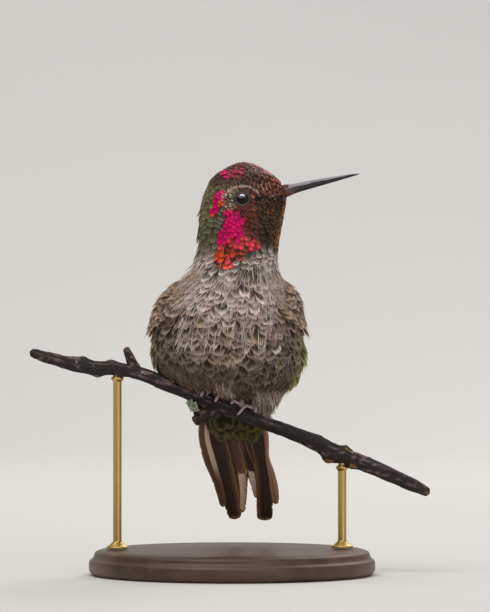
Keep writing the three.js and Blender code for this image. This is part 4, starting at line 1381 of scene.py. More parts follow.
# Each tail feather's line as (x, level, width), from the middle pair outwards.
TAIL_LINES = {
    "right": [
        [(0.2, 40.5, 2.6), (1.0, 33.0, 4.0), (1.9, 26.0, 4.0), (2.3, 20.5, 3.2)],
        [(-0.2, 40.3, 2.6), (0.9, 31.0, 4.2), (1.7, 24.0, 4.0), (2.1, 17.0, 3.0)],
        [(-0.9, 40.1, 2.6), (-0.3, 31.0, 4.2), (0.9, 25.0, 4.5), (1.6, 20.0, 4.0), (1.75, 13.4, 2.8)],
        [(-4.9, 39.9, 3.4), (-3.9, 33.0, 4.0), (-2.8, 29.0, 4.2)]
        + [(-1.7, 24.5, 4.2), (-0.4, 18.0, 4.2), (0.75, 12.1, 3.2)],
        [(-6.2, 40.5, 2.2), (-6.75, 33.5, 2.7), (-5.45, 27.5, 3.0)]
        + [(-3.75, 22.5, 2.3), (-2.75, 18.6, 1.9), (-2.2, 15.4, 1.5)],
    ],
    "left": [
        [(1.3, 40.5, 2.6), (2.9, 33.0, 4.0), (4.1, 26.0, 4.0), (4.7, 21.5, 3.0)],
        [(1.8, 40.3, 2.6), (4.0, 31.0, 4.0), (5.3, 24.0, 3.6), (6.5, 16.8, 2.4)],
        [(2.6, 40.1, 2.6), (5.1, 31.0, 4.1), (6.9, 25.0, 3.3), (7.4, 19.0, 3.3), (7.4, 12.7, 3.2)],
        [(3.6, 39.9, 2.6), (6.3, 31.0, 3.7), (7.5, 24.5, 3.6), (7.8, 18.5, 3.9), (7.8, 11.8, 4.0)],
        [(6.9, 40.0, 1.6), (8.15, 32.5, 1.2), (8.4, 28.0, 1.0)]
        + [(9.35, 24.0, 1.7), (10.1, 19.8, 2.1), (10.5, 16.1, 1.6)],
    ],
}
# Its webs: how pale the inner web is before and after the place where it whitens, how far across
# and along that place is, and how rusty the whole feather is.
TAIL_WEBS = {
    "right": [
        (0.03, 0.06, 0.0, 0.4, 0.28),
        (0.05, 1.0, -0.3, 0.66, 0.3),
        (0.08, 1.0, 0.02, 0.6, 0.2),
        (0.06, 0.1, 0.35, 0.45, 0.06),
        (0.85, 0.1, 0.0, 0.5, 0.3),
    ],
    "left": [
        (0.03, 0.05, 0.0, 0.3, 0.07),
        (0.05, 1.0, -0.35, 0.7, 0.05),
        (0.06, 0.22, 0.35, 0.55, 0.06),
        (0.06, 0.08, 0.4, 0.5, 0.04),
        (0.5, 0.5, -2.0, 0.05, 0.8),
    ],
}
# The large feathers under the tail: x of the root, the tip, width and how far each stands off.
UNDERTAIL = [
    (0.6, (1.0, 33.6), 3.0, 0.0),
    (-3.4, (-4.3, 33.0), 3.0, 0.1),
    (5.6, (6.2, 32.4), 3.0, 0.1),
    (2.4, (2.9, 31.6), 3.4, 0.2),
    (-0.6, (-0.6, 31.8), 3.3, 0.3),
    (-2.0, (-2.6, 31.0), 4.2, 0.45),
    (4.0, (4.7, 30.6), 4.4, 0.5),
    (-3.2, (-4.0, 34.4), 3.0, 0.7),
    (5.2, (6.0, 34.2), 3.0, 0.75),
    (-0.4, (-0.7, 34.2), 3.2, 0.8),
    (2.4, (2.6, 34.0), 3.2, 0.85),
    (-1.8, (-2.3, 33.6), 4.0, 1.0),
    (3.8, (4.4, 33.3), 4.2, 1.05),
]
# The folded wing: how thick it is, the step between its feathers, their width and numbers.
WING = {"thick": 0.6, "layer": 0.12, "width": 4.7, "primaries": 10, "secondaries": 5}
# The folded wing's line: under the coverts (s, degrees from the front, degrees closed, height,
# share of the layers' height), then free of the body (x of each wing, y and z of its middle, the
# outward direction, how far it closes), then over the tail (level, x of each wing, how far it closes).
WING_PATH = [(0.5, 102, 9, -1.1, 0.0), (0.56, 108, 11, -0.2, 0.15), (0.62, 116, 13, 0.6, 0.4)]
WING_FREE = [
    {"right": -10.6, "left": 10.3, "y": 9.9, "z": 44.0, "out": (0.62, 0.76, -0.2), "close": (3.0, 1.7, 0.0)},
    {"right": -6.6, "left": 6.7, "y": 13.8, "z": 36.5, "out": (0.45, 0.85, 0.2), "close": (2.6, 1.2, 0.0)},
]
OVER_TAIL = [
    {"z": 29.0, "right": -3.9, "left": 6.4, "close": 2.0},
    {"z": 18.0, "right": -0.8, "left": 7.6, "close": 1.2},
]


def in_tail(x, z, raised=0.0):
    """The point of the tail's plane at x and z, raised off it towards the front."""
    return np.array([x, TAIL["y"] + (TAIL["z"] - z) * math.tan(TAIL["lean"]), z]) + raised * TAIL_FACE


def quill(heap, path, facing, width, thick, camber, rng, rows=44, columns=13, fray=0.035, **values):
    """Adds a long feather: rings of a cambered lens carried along a path. `facing` gives the
    outward direction, `width` the width at each share of the length, and the rim is nicked
    where barbs have parted."""
    t = 1 - (1 - np.linspace(0, 1, rows)) ** 1.25
    v = np.linspace(1, -1, columns)
    v = np.concatenate([v, v[-2:0:-1]])
    under = np.repeat([1.0, -1.0], [columns, columns - 2])
    heading = path.heading(t)
    outward = square_to(heading, facing(t))
    nicks = 1 - fray * rng.random((rows, 2)) - 0.1 * (rng.random((rows, 2)) > 0.93)
    half = 0.5 * width(t)[:, None] * np.where(v[None] > 0, nicks[:, :1], nicks[:, 1:])
    lens = 1 - v**2
    shaft = 0.5 * np.exp(-((v / 0.09) ** 2))
    height = camber * lens - under * thick * (0.5 * lens + shaft)
    height = height[None] * np.minimum(1.0, 6 * (1 - t) + 0.15)[:, None]
    aside = (half * v)[..., None] * np.cross(heading, outward)[:, None]
    rings = path.at(t)[:, None, :3] + aside + height[..., None] * outward[:, None]
    across = with_ends(v * 0.5 + 0.5, half.shape, 0.5, 0.5)
    along = with_ends(t[:, None], half.shape)
    full = {key: value(across * 2 - 1, along) for key, value in values.items()}
    rim = with_ends(np.abs(v) == 1, half.shape, 0.0, 0.0)
    heap.add(*closed_tube(rings), Vane=np.stack([across, along], axis=-1), rim=rim, **full)


def tail_feather(heap, side, layer, rng):
    """One tail feather: a square-ended vane on its line, the inner web pale towards the tip."""
    before, after, web, begins, rusty = TAIL_WEBS[side][layer]
    raised = (layer - 2) * TAIL["layer"]
    path = Path([(*in_tail(x, z, raised), broad) for x, z, broad in TAIL_LINES[side][layer]])
    t = np.linspace(0, 1, len(path.points))[:, None]
    path.points[:, :3] += TAIL_FACE * TAIL["arch"] * np.sin(np.pi * t)
    inwards = -1 if side == "right" else 1

    def width(t):
        return path.at(t)[:, 3] * np.sqrt(np.maximum(0.04, 1 - t**80))

    def inner(v, t):
        whiten = smooth(t + 0.03 * v, begins, begins + (0.025 if after > before else 0.25))
        return (before + (after - before) * whiten) * smooth(v * inwards, web, web + 0.15)

    def rust(v, t):
        outer = (layer == 4) * 0.6 * smooth(-v * inwards, 0.55, 0.8)
        middle = (layer in (2, 3)) * 0.42 * smooth(v * inwards, 0.3, 0.9) * smooth(t, 0.3, 0.75)
        return np.maximum(rusty, outer) + middle

    quill(heap, path, lambda t: TAIL_FACE, width, 0.16, 0.2, rng, inner=inner, rust=rust)


def over_belly(x, z, out):
    """The place on the front of the plumage at x and z, raised off it."""
    shares = np.linspace(0.5, 0.99, 200)
    s = np.array(np.interp(-z, -sections(shares)[:, 0], shares))
    _, x0, _, right, left, _, _, _ = sections(s)
    angle = math.asin(float(np.clip((x - x0) / (left if x > x0 else right), -0.95, 0.95)))
    return plumage(s, angle, out)


def undertail_covert(heap, root, tip, broad, out, rng):
    """A large soft feather under the tail: it leaves the plumage and hangs past its end, with a
    round tip."""
    top = over_belly(root, 38.6, 0.2 + out)
    middle = over_belly(0.5 * (root + tip[0]), 35.4, 0.5 + out)
    end = np.array([tip[0], middle[1] + middle[2] - tip[1], tip[1]])
    width = lambda t: broad * np.minimum(1.0, 0.5 + 1.2 * t) * np.sqrt(np.maximum(0.02, 1 - t**5))
    quill(heap, Path([top, middle, end]), lambda t: TAIL_FACE, width, 0.16, 0.35, rng, 34, 13, 0.16)


def wing_path(side, closed, lift):
    """The line of a flight feather over the folded wing, with the outward direction beside it."""
    sign = 1 if side == "left" else -1
    knots = []
    for s, degrees, close, height, share in WING_PATH:
        angle = sign * math.radians(degrees + close * closed)
        place = plumage(s, angle, height + lift * share)
        knots.append(np.concatenate([place, body_normal(np.array(s), np.array(angle))]))
    for place in WING_FREE:
        out = unit(np.array(place["out"])) * np.array([sign, 1.0, 1.0])
        over, back, down = place["close"]
        middle = np.array([place[side] - sign * over * closed, place["y"] + back * closed, place["z"] + down])
        knots.append(np.concatenate([middle + lift * out, out]))
    for place in OVER_TAIL:
        x = place[side] - sign * place["close"] * closed
        point = in_tail(x, place["z"], -(TAIL["back"] + WING["thick"] + lift))
        knots.append(np.concatenate([point, -TAIL_FACE]))
    return Path(knots)


class Stretch:
    """A stretch of a path, read as a path of its own."""

    def __init__(self, path, start, end):
        self.path, self.start, self.end = path, start, end

    def share(self, t):
        return self.start + (self.end - self.start) * np.asarray(t)

    def at(self, t):
        return self.path.at(self.share(t))

    def heading(self, t):
        return self.path.heading(self.share(t))


def flight_feathers(side, rng):
    """The folded primaries, then the shorter secondaries nested above them."""
    heap = Heap()
    inner = lambda v, t: smooth(np.abs(v), 0.86, 1.0) * 0.6
    for number in range(WING["primaries"] + WING["secondaries"]):
        late = max(0, number - WING["primaries"] + 1)
        along = number / (WING["primaries"] - 1)
        share = 1.0 - 0.36 * along**1.2 - 0.05 * late
        lift = WING["layer"] * number * (0.9 if late == 0 else 0.8)
        line = Stretch(wing_path(side, along - 0.25 * (late > 0), lift), 0.0, max(0.38, share))
        broad = WING["width"] * (1.0 if late == 0 else 0.85)

        def width(t):
            return broad * np.sqrt(np.maximum(0.02, 1 - t**3.6)) * np.minimum(1, 0.7 + 0.7 * t)

        quill(heap, line, lambda t: line.at(t)[:, 3:], width, 0.14, 0.22, rng, inner=inner)
    return heap


# ------------------------------------------------------------------ coverts

# Pads of coverts over the shoulder: s of the top and foot, degrees from the front, thickness.
PADS = [
    {"top": 0.44, "foot": 0.585, "front": 55, "back": 150, "thick": 2.8, "hem": 2.0},
    {"top": 0.53, "foot": 0.675, "front": 84, "back": 162, "thick": 1.5, "hem": 0.8},
]
# How deep the pads' inner faces lie under the plumage.
PAD_SUNK = 1.2


def pad_surface(pad, side, sink=0.0):
    """The pad's outer face: x runs to the back and y down, both from -1 to 1. It bulges in its
    middle and lifts off the body towards its lower hem."""
    middle = math.radians((pad["front"] + pad["back"]) / 2)
    spread = math.radians((pad["back"] - pad["front"]) / 2)
    level, drop = (pad["top"] + pad["foot"]) / 2, (pad["foot"] - pad["top"]) / 2

    def surface(x, y, face=1.0):
        edge = pad["hem"] * smooth(y, 0.1, 0.9)
        dome = np.maximum(0.0, 1 - x**2 - y**2)
        proud = np.where(face > 0, pad["thick"] - sink - edge, -(PAD_SUNK + edge))
        return plumage(level + y * drop, side * (middle + x * spread), edge + proud * dome)

    return surface


# ------------------------------------------------------------------ bill, eyes and feet


def ball_points(rows, columns):
    """A unit ball about Z: rings of points from one pole to the other, with faces outwards."""
    tilt = np.linspace(0, np.pi, rows + 2)[1:-1, None]
    turn = full_turn(columns)[None, :]
    rings = [np.sin(tilt) * np.cos(turn), np.sin(tilt) * np.sin(turn), -np.cos(tilt) + 0 * turn]
    points, faces = closed_tube(np.stack(rings, axis=-1))
    points[-2:] = [-UP, UP]
    return points, faces


def bill_half(heap, upper, rows=72, around=24):
    """One mandible: half-oval rings along the bill's line, flat at the gape. The upper one has a
    ridge on top and a flap over each nostril, and both taper to a fine point."""
    t = 1 - (1 - np.linspace(0, 1, rows)) ** 1.3
    t, angle = np.meshgrid(t, full_turn(around), indexing="ij")
    aside, rise = np.cos(angle), -np.sin(angle)
    taper = bill_taper(t)
    sign, deep = (1, BILL["upper"]) if upper else (-1, BILL["under"])
    over = np.maximum(0.0, rise * sign) ** 0.92
    keel = 0.12 * np.exp(-((aside / 0.3) ** 2)) * (over > 0) * upper
    nostril = np.exp(-(((t - 0.085) / 0.05) ** 2) - ((over - 0.45) / 0.3) ** 2) * upper
    groove = np.exp(-(((t - 0.1) / 0.06) ** 2) - ((over - 0.12) / 0.12) ** 2) * upper
    wide = BILL["wide"] * taper * aside * (1 + 0.16 * nostril - 0.14 * groove)
    tall = 0.05 * taper + deep * (taper + bill_base(t, not upper)) * (over * 0.94 + keel)
    tall = sign * tall - BILL["gape"] * taper
    rings = bill_line(t) + wide[..., None] * TO_RIGHT + tall[..., None] * UP
    # painted highlight: pale along the top of the upper half, faint on the lower one
    worn = smooth(over, 0.1, 0.55) * smooth(t, 1.0, 0.8) * (1.0 if upper else 0.1)
    flush = smooth(t, 0.34, 0.08) * (0.3 if upper else 0.9)
    flush = np.maximum(flush, 0.7 * smooth(over, 0.2, 0.05) * smooth(t, 0.5, 0.2) * upper)
    heap.add(*closed_tube(rings), worn=with_ends(worn, t.shape), flush=with_ends(flush, t.shape))


def eyeball(side):
    """The eye as a ball with a faintly raised cornea, how far each point is off its axis, and where
    its film is wettest, high on the cornea, which is also where the painted sheen lies."""
    points, faces = ball_points(44, 64)
    off_axis = np.hypot(points[:, 0], points[:, 1])
    front = points[:, 2] > 0
    bulge = 1 + 0.035 * front * np.maximum(0.0, 1 - (off_axis / 0.7) ** 2)
    local = points * bulge[:, None] * EYE["radius"]
    placed = in_head(EYE["ahead"], side * EYE["aside"], EYE["level"])
    for column, axis in enumerate((HEADING, UP * -side, TO_RIGHT * side)):
        placed = placed + local[:, column : column + 1] * axis
    round_it = np.arctan2(points[:, 1], points[:, 0]) / 6.3 + 0.5
    gaze = np.stack([round_it, np.where(front, off_axis, 1.2)], axis=-1)
    # the patch high on the cornea that gets the wettest film and the painted sheen
    film = np.hypot((points[:, 0] + 0.1) / 0.5, (-side * points[:, 1] - 0.36) / 0.29)
    return placed, faces, gaze, front * (1 - smooth(film, 0.7, 1.15))


def lid_ring(heap, look, side, rng, around=96, section=14):
    """The eyelids: a closed ring whose section is a flat oval, wrinkled, and drawn in at the top
    where the upper lid hangs over the eye; then two rows of pale beads on it."""
    turn, inside = full_turn(around)[:, None], full_turn(section)[None, :]
    hood = np.maximum(0.0, np.sin(turn)) ** 2
    corner = 0.16 * np.exp(-((np.abs(np.cos(turn)) - 1) ** 2) / 0.01)
    folds = 0.03 * np.sin(turn * 22 + 3 * np.sin(turn * 3)) + 0.02 * np.sin(turn * 41)
    radius = 1.64 - 0.1 * hood + corner + (0.34 + folds) * np.cos(inside)
    aside = 6.66 + 0.1 * hood - 0.14 * np.cos(inside) + (0.18 + folds) * np.sin(inside)

    def about_eye(out, turn, aside):
        level = EYE["level"] + out * np.sin(turn) * 0.97
        return in_head(EYE["ahead"] + out * np.cos(turn), side * aside, level)

    index = np.arange(around * section).reshape(around, section)
    index = np.stack([index, np.roll(index, -1, 1)])
    quads = np.stack([*index, *np.roll(index, -1, 1)[::-1]], axis=-1).reshape(-1, 4)
    if side > 0:
        quads = quads[:, ::-1]
    heap.add(about_eye(radius, turn, aside).reshape(-1, 3), [quads], tint=np.array(look.lid))
    bead, bead_faces = ball_points(4, 7)
    for row, (reach, number) in enumerate([(1.42, 32), (1.64, 38)]):
        for place in range(number):
            angle = 2 * np.pi * (place + 0.5 * row + 0.2 * rng.normal()) / number
            hood = max(0.0, math.sin(angle)) ** 2
            out = reach - 0.1 * hood + 0.04 * rng.normal()
            middle = about_eye(out, angle, 6.95 - 0.4 * (reach - 1.42) + 0.08 * hood)
            radial = math.cos(angle) * HEADING + math.sin(angle) * UP
            swirl = -math.sin(angle) * HEADING + math.cos(angle) * UP
            grow = 0.085 * rng.uniform(0.8, 1.2)
            axes = np.stack([radial * grow * 1.25, swirl * grow * 0.8, np.cross(radial, swirl) * grow * 0.7])
            shade = rng.uniform(0.7, 1.1) * (0.42 + 0.75 * max(0.0, -math.sin(angle + 0.5)))
            heap.add(middle + bead @ axes, bead_faces, tint=np.array(look.lid_bead) * shade)


# The twig's line: x, y, level and radius.
TWIG = np.array(
    [
        (-47.6, -3.6, 52.7, 0.95),
        (-43.2, -3.4, 51.2, 1.35),
        (-37.8, -3.2, 49.9, 1.6),
        (-32.4, -3.0, 48.9, 1.65),
        (-27.0, -2.8, 48.7, 1.5),
        (-21.6, -2.6, 47.5, 1.6),
        (-16.2, -2.4, 45.4, 1.7),
        (-10.8, -2.2, 43.3, 1.65),
        (-5.4, -2.0, 41.0, 1.6),
        (0.0, -2.0, 38.6, 1.55),
        (5.0, -1.8, 36.9, 1.55),
        (9.8, -1.5, 35.1, 1.6),
        (14.6, -1.1, 33.3, 1.7),
        (19.2, -0.6, 31.4, 1.8),
        (24.0, -0.1, 28.9, 1.95),
        (28.8, 0.5, 27.1, 1.95),
        (33.4, 1.1, 25.3, 1.85),
        (38.2, 1.8, 23.1, 1.7),
        (43.0, 2.6, 20.9, 1.45),
        (46.8, 3.2, 19.1, 1.0),
    ]
)
TWIG_LINE = Path(TWIG)
# Knots: place along, degrees from the top towards the front, height, reach along, reach round.
KNOTS = [
    (0.13, -30, 0.75, 0.013, 50),
    (0.165, 160, 0.7, 0.014, 55),
    (0.195, 20, 0.55, 0.012, 60),
    (0.215, 175, 0.75, 0.014, 45),
    (0.7, 10, 0.5, 0.013, 60),
    (0.745, 170, 1.15, 0.016, 55),
    (0.775, -20, 0.65, 0.014, 60),
    (0.8, 120, 0.6, 0.012, 60),
]
# Broken side shoots: root, tip and the radius at each.
STUBS = [
    {"root": (-23.0, -2.6, 48.6), "tip": (-24.9, -2.9, 53.4), "thick": 1.35, "thin": 0.85},
    {"root": (-3.6, -2.4, 39.2), "tip": (-8.8, -2.9, 36.2), "thick": 1.75, "thin": 1.25},
]
# The lichen's tufts: middle, size and how many lobes.
LICHEN = [((-9.0, -3.9, 39.6), 1.5, 46), ((-9.9, -3.4, 40.6), 1.0, 26)]
PERCH_SEED = 5
# The x of each foot on the twig; a toe's radius, how far the hind one reaches round the twig, in
# degrees, and its clearance from the bark.
FEET = {"right": -5.9, "left": 1.5}
TOE = {"thick": 0.42, "hind": -70, "gap": 0.36}
# The front toes of each foot: where each leaves the top of the twig, from the foot's middle, how
# far it slants along the twig, and how many degrees it reaches round it.
FRONT_TOES = {
    "right": [(-1.5, -0.2, 104), (0.1, -0.9, 72), (1.9, -0.3, 98)],
    "left": [(-1.9, -0.6, 64), (1.6, -2.2, 118), (2.9, 0.6, 66)],
}


def twig_place(x):
    """The share of the twig's length that lies at x."""
    shares = np.linspace(0, 1, 600)
    return float(np.interp(x, TWIG_LINE.at(shares)[:, 0], shares))


def twig_axes(t):
    """Directions across the twig at t: up, and towards the front."""
    along = TWIG_LINE.heading(t)
    front = square_to(along, np.array([0.0, -1.0, 0.0]))
    return unit(np.cross(front, along)), front


def toe_path(x, reach, slant=0.0):
    """A toe's line from the top of the twig round to `reach` degrees, moved along by `slant`."""
    k = np.linspace(0, 1, 13)[:, None]
    t = np.array([twig_place(x + slant * share) for share in k[:, 0]])
    up, front = twig_axes(t)
    angle = np.radians(-8 * np.sign(reach) + (reach + 8 * np.sign(reach)) * k)
    out = TWIG_LINE.at(t)[:, 3:] + TOE["thick"] + TOE["gap"] + 0.3 * np.sin(np.pi * k)
    return Path(TWIG_LINE.at(t)[:, :3] + out * (np.cos(angle) * up + np.sin(angle) * front))


def toe(heap, x, reach, slant=0.0):
    """A toe: a tube along its line, ringed by scutes and swollen at its joints and pads, that
    ends in a thin hooked claw."""
    path = toe_path(x, reach, slant)

    def scaly(t, angle):
        scutes = 0.06 * np.abs(np.sin(t * 30)) * (np.cos(angle) > -0.2)
        joints = sum(0.11 * np.exp(-(((t - at) / 0.07) ** 2)) for at in (0.36, 0.72))
        end = np.sqrt(np.clip((1.0 - t) / 0.06 + 0.15, 0, 1))
        return TOE["thick"] * (0.86 + scutes + joints - 0.2 * t) * end

    middle = TWIG_LINE.at(np.array([twig_place(x)]))[0, :3]
    out = unit(path.at(0.4)[:3] - middle)
    heap.add(*sweep(Stretch(path, 0.0, 0.84), scaly, 46, 12, out), claw=0.0)
    hook = lambda t, angle: 0.22 * (1 - t) ** 0.7 + 0.02
    heap.add(*sweep(Stretch(path, 0.78, 1.0), hook, 16, 10, out), claw=1.0)


def foot(heap, side):
    """A foot: three toes forward and one back round the twig, a palm, and the shank."""
    x = FEET[side]
    for offset, slant, reach in FRONT_TOES[side]:
        toe(heap, x + offset, reach, slant)
    toe(heap, x, TOE["hind"])
    t = np.array([twig_place(x)])
    up, _ = twig_axes(t)
    top = (TWIG_LINE.at(t)[:, :3] + up * (TWIG_LINE.at(t)[:, 3:] + TOE["thick"] + 0.3))[0]
    hip = top + np.array([0.0, 2.6, 4.4])
    scutes = lambda t, angle: 0.5 + 0.05 * np.abs(np.sin(t * 24)) + 0.12 * np.exp(-((t / 0.12) ** 2))
    heap.add(*sweep(Path([top, (top + hip) / 2, hip]), scutes, 36, 12), claw=0.0)
    for offset, slant, reach in FRONT_TOES[side]:
        end = toe_path(x + offset, reach, slant).at(0.12)[:3]
        bridge = Path([top, (top + end) / 2, end])
        heap.add(*sweep(bridge, lambda t, angle: 0.42 - 0.06 * t, 12, 10, (0, 1, 0)), claw=0.0)
    palm, faces = ball_points(10, 14)
    heap.add(top + palm * np.array([0.78, 0.66, 0.6]), faces, claw=0.0)


# ------------------------------------------------------------------ perch and stand


def twig_reach(t, angle):
    """The twig's radius: its taper, knots, long bark ridges and cross scars."""
    base = TWIG_LINE.at(t)[..., 3]
    knot = np.zeros(np.broadcast(t, angle).shape)
    for at, round_at, high, along, wide in KNOTS:
        apart = angle - math.radians(round_at)
        apart = np.arctan2(np.sin(apart), np.cos(apart)) / math.radians(wide)
        knot = knot + high * np.exp(-(((t - at) / along) ** 2) - apart**2)
    place = np.stack(np.broadcast_arrays(np.cos(angle) * 1.6, np.sin(angle) * 1.6, t * 34.0), axis=-1)
    ridges = rough_drift(place * np.array([2.2, 2.2, 0.55]), 1.0, 4)
    lumps = rough_drift(place + 9.0, 1.1, 4)
    rough = 0.36 + 1.3 * np.minimum(knot, 1.0) + 0.5 * smooth(t, 0.24, 0.1)
    rough = rough + 0.7 * np.exp(-(((t - 0.76) / 0.05) ** 2))
    scars = 0.09 * np.exp(-((np.sin(t * 61 + 2 * np.sin(t * 23)) - 1) ** 2) / 0.004)
    reach = base * 0.97 + knot * 0.85 + (ridges - 0.5) * 0.5 + (lumps - 0.5) * rough * 0.8 + scars
    return np.maximum(reach, 0.4), ridges, lumps, knot


def twig_stem(heap, rows=520, around=72):
    """The stem as rings of twig_reach across its line, with rounded broken ends."""
    t, angle = np.linspace(0, 1, rows)[:, None], full_turn(around)[None, :]
    reach, ridges, lumps, knot = twig_reach(t, angle)
    ends = np.sqrt(np.clip(np.minimum(t, 1 - t) / 0.006, 0.03, 1.0))
    rings = rings_along(TWIG_LINE, t[:, 0], reach * ends, *twig_axes(t[:, 0]), angle)
    scab = smooth(t, 0.3, 0.2) + np.exp(-(((t - 0.77) / 0.06) ** 2))
    crust = np.clip(knot * 0.8, 0, 1) + 0.55 * smooth(lumps, 0.5, 0.75) * scab
    looks = {"crust": crust * 0.8 + 0.4 * smooth(t, 0.9, 0.99), "wood": smooth(ends, 0.75, 0.4)}
    # the ridge mask paints the raised bark paler: partly weathering, partly painted highlight
    looks["ridge"] = smooth(ridges, 0.3, 0.75)
    looks = {label: with_ends(grid, reach.shape) for label, grid in looks.items()}
    heap.add(*closed_tube(rings), **looks)


def twig_stub(heap, stub, rng, rows=46, around=40):
    """A broken side shoot: a tapering, ridged tube with a collar at its root and a torn end."""
    path = Path([stub["root"], (np.array(stub["root"]) + stub["tip"]) / 2, stub["tip"]])
    t, angle = np.linspace(0, 1, rows)[:, None], full_turn(around)[None, :]
    place = np.stack(np.broadcast_arrays(np.cos(angle) * 1.5, np.sin(angle) * 1.5, t * 3), axis=-1)
    ridges = rough_drift(place * 2.0 + stub["thin"] * 10, 1.0, 4)
    torn = np.sqrt(np.clip((1 - t) / 0.05, 0.05, 1))
    taper = stub["thick"] + (stub["thin"] - stub["thick"]) * t + 0.25 * np.exp(-((t / 0.3) ** 2))
    reach = (taper * 0.95 + (ridges - 0.5) * 0.5) * torn
    heading = path.heading(t[:, 0])
    first = square_to(heading, np.array([0.0, -1.0, 0.0]))
    rings = rings_along(path, t[:, 0], reach, first, np.cross(heading, first), angle)
    rings[-3:] += heading[-1] * (rng.random((1, around, 1)) - 0.4) * 0.7
    looks = {"ridge": smooth(ridges, 0.3, 0.75), "crust": ridges * 0.6, "wood": smooth(t, 0.93, 0.97)}
    looks = {label: with_ends(grid, reach.shape) for label, grid in looks.items()}
    heap.add(*closed_tube(rings), **looks)


def lichen_tuft(heap, middle, size, number, rng):
    """A tuft of lichen: many small cupped lobes that lean out from one place."""
    v, u = np.meshgrid(np.linspace(-1, 1, 5), np.linspace(0, 1, 5))
    quads = grid_faces(5, 5)
    index = np.arange(25).reshape(5, 5)
    edge = np.concatenate([index[0, :4], index[:4, 4], index[4, :0:-1], index[:0:-1, 0]])
    after = np.roll(edge, -1)
    wall = np.stack([after, after + 25, edge + 25, edge], axis=-1)
    for _ in range(number):
        out = unit(rng.normal(size=3) * np.array([1.0, 0.8, 0.8]) + np.array([-0.3, -0.5, 0.1]))
        side = unit(np.cross(out, rng.normal(size=3)))
        face = np.cross(out, side)
        grow = size * rng.uniform(0.6, 1.1)
        wide = (v * np.interp(u, [0, 0.6, 1], [0.15, 0.5, 0.36]) * grow)[..., None]
        cup = (0.25 * v**2 - 0.3 * u**2 + 0.1 * np.sin(6 * v + 9 * u))[..., None] * grow
        sheet = middle + u[..., None] * grow * (1 - 0.25 * v[..., None] ** 2) * out + wide * side + cup * face
        thick = 0.07 * face * (1 - 0.8 * np.abs(v[..., None]))
        both = np.concatenate([(sheet + thick).reshape(-1, 3), (sheet - thick).reshape(-1, 3)])
        heap.add(both, [quads[:, ::-1], quads + 25, wall], pale=rng.uniform(0.75, 1.1))


# The radius at which a turned profile starts and ends, next to its axis.
AXIS = 0.01


def turned_rings(profile, middle, around):
    """Rings of a turned shape: each (radius, level) of a profile carried round a middle."""
    angle = full_turn(around)
    radius, level = np.asarray(profile, dtype=float).T
    round_it = np.stack([np.cos(angle), np.sin(angle), 0 * angle], axis=-1)
    return np.asarray(middle) + radius[:, None, None] * round_it + level[:, None, None] * UP


def rounded(corners, radius, steps):
    """A profile with each inner corner replaced by a small quadratic curve."""
    corners = np.asarray(corners, dtype=float)
    made = [corners[0]]
    k = np.linspace(0, 1, steps)[:, None]
    for before, at, after in zip(corners, corners[1:], corners[2:]):
        start = at + unit(before - at) * min(radius, 0.45 * np.linalg.norm(at - before))
        end = at + unit(after - at) * min(radius, 0.45 * np.linalg.norm(after - at))
        made.extend((1 - k) ** 2 * start + 2 * k * (1 - k) * at + k**2 * end)
    return np.array([*made, corners[-1]])


# Loose barbs over the coat: how many are tried, where (s and angle), their slant, length, width and
# lift, the drift they need, and the colours they take, over one root colour where it is given.
WISPS = {
    "neck_strands": dict(
        tries=430, s=(0.375, 0.475), angle=(-1.35, 1.35), slant=-0.12, size=(1.5, 3.2),
        broad=0.13, lift=(0.3, 0.7), wisp=0.46, inks=["strand", "neck_edge", "neck_edge", "neck"],
    ),
    "breast_strands": dict(
        tries=500, s=(0.44, 0.62), angle=(-0.75, 0.75), slant=-0.28, size=(2.2, 4.4),
        broad=0.17, lift=(0.45, 0.85), wisp=0.62, inks=["strand", "strand", "chest_edge"],
    ),
    "shoulder_strands_right": dict(
        tries=210, s=(0.41, 0.53), angle=(-1.25, -0.6), slant=-0.75, size=(2.2, 4.4),
        broad=0.18, lift=(0.5, 1.0), wisp=0.42, inks=["strand", "buff", "buff"],
    ),
    "shoulder_strands_left": dict(
        tries=170, s=(0.43, 0.53), angle=(0.7, 1.25), slant=0.6, size=(2.2, 4.4),
        broad=0.18, lift=(0.5, 1.0), wisp=0.42, inks=["strand", "buff", "buff"],
    ),
    "vent_tufts": dict(
        tries=420, s=(0.765, 0.85), angle=(0.4, 1.15), slant=0.3, size=(2.2, 4.6), root="shoulder",
        broad=0.24, lift=(0.5, 1.8), wisp=0.42, inks=["tuft", "tuft", "tuft", "buff"],
    ),
    "hem_tufts": dict(
        tries=130, s=(0.735, 0.785), angle=(-0.32, 0.0), slant=0.0, size=(2.2, 4.2), root="shoulder",
        broad=0.26, lift=(0.3, 0.7), wisp=0.2, inks=["buff", "tuft", "buff", "strand"],
    ),
    "belly_strands": dict(
        tries=1000, s=(0.68, 0.83), angle=(-1.2, 1.2), slant=0.0, size=(1.8, 3.6), root="vent",
        broad=0.18, lift=(0.3, 0.7), wisp=0.5,
        inks=["belly_edge", "breast_edge", "vent", "breast_edge", "belly"],
    ),
}
COAT_ZONES = ["face", "crown", "throat", "nape", "neck", "breast", "belly", "back", "undertail"]


def zones_of_coat(points, s, angle):
    """The zone of the coat that each root is in; where two rules meet, the later one holds."""
    ahead, _, level = head_place(points)
    head, in_front = level >= NAPE_LEVEL, ahead >= -1.5
    rules = {
        "belly": level < 53.0,
        "neck": level > 67.0,
        "back": (np.abs(angle) > 1.75) & ~head,
        "undertail": s > 0.875,
        "nape": head & ~in_front,
        "throat": head & in_front,
        "face": head & in_front & (level > 84.5),
        "crown": head & (level > 91.0) & (ahead > -4.0),
    }
    zones = np.full(len(s), "breast", dtype="<U9")
    for name, here in rules.items():
        zones[here] = name
    zones[(zones == "throat") & (level < gorget_edge(ahead))] = "neck"
    return zones


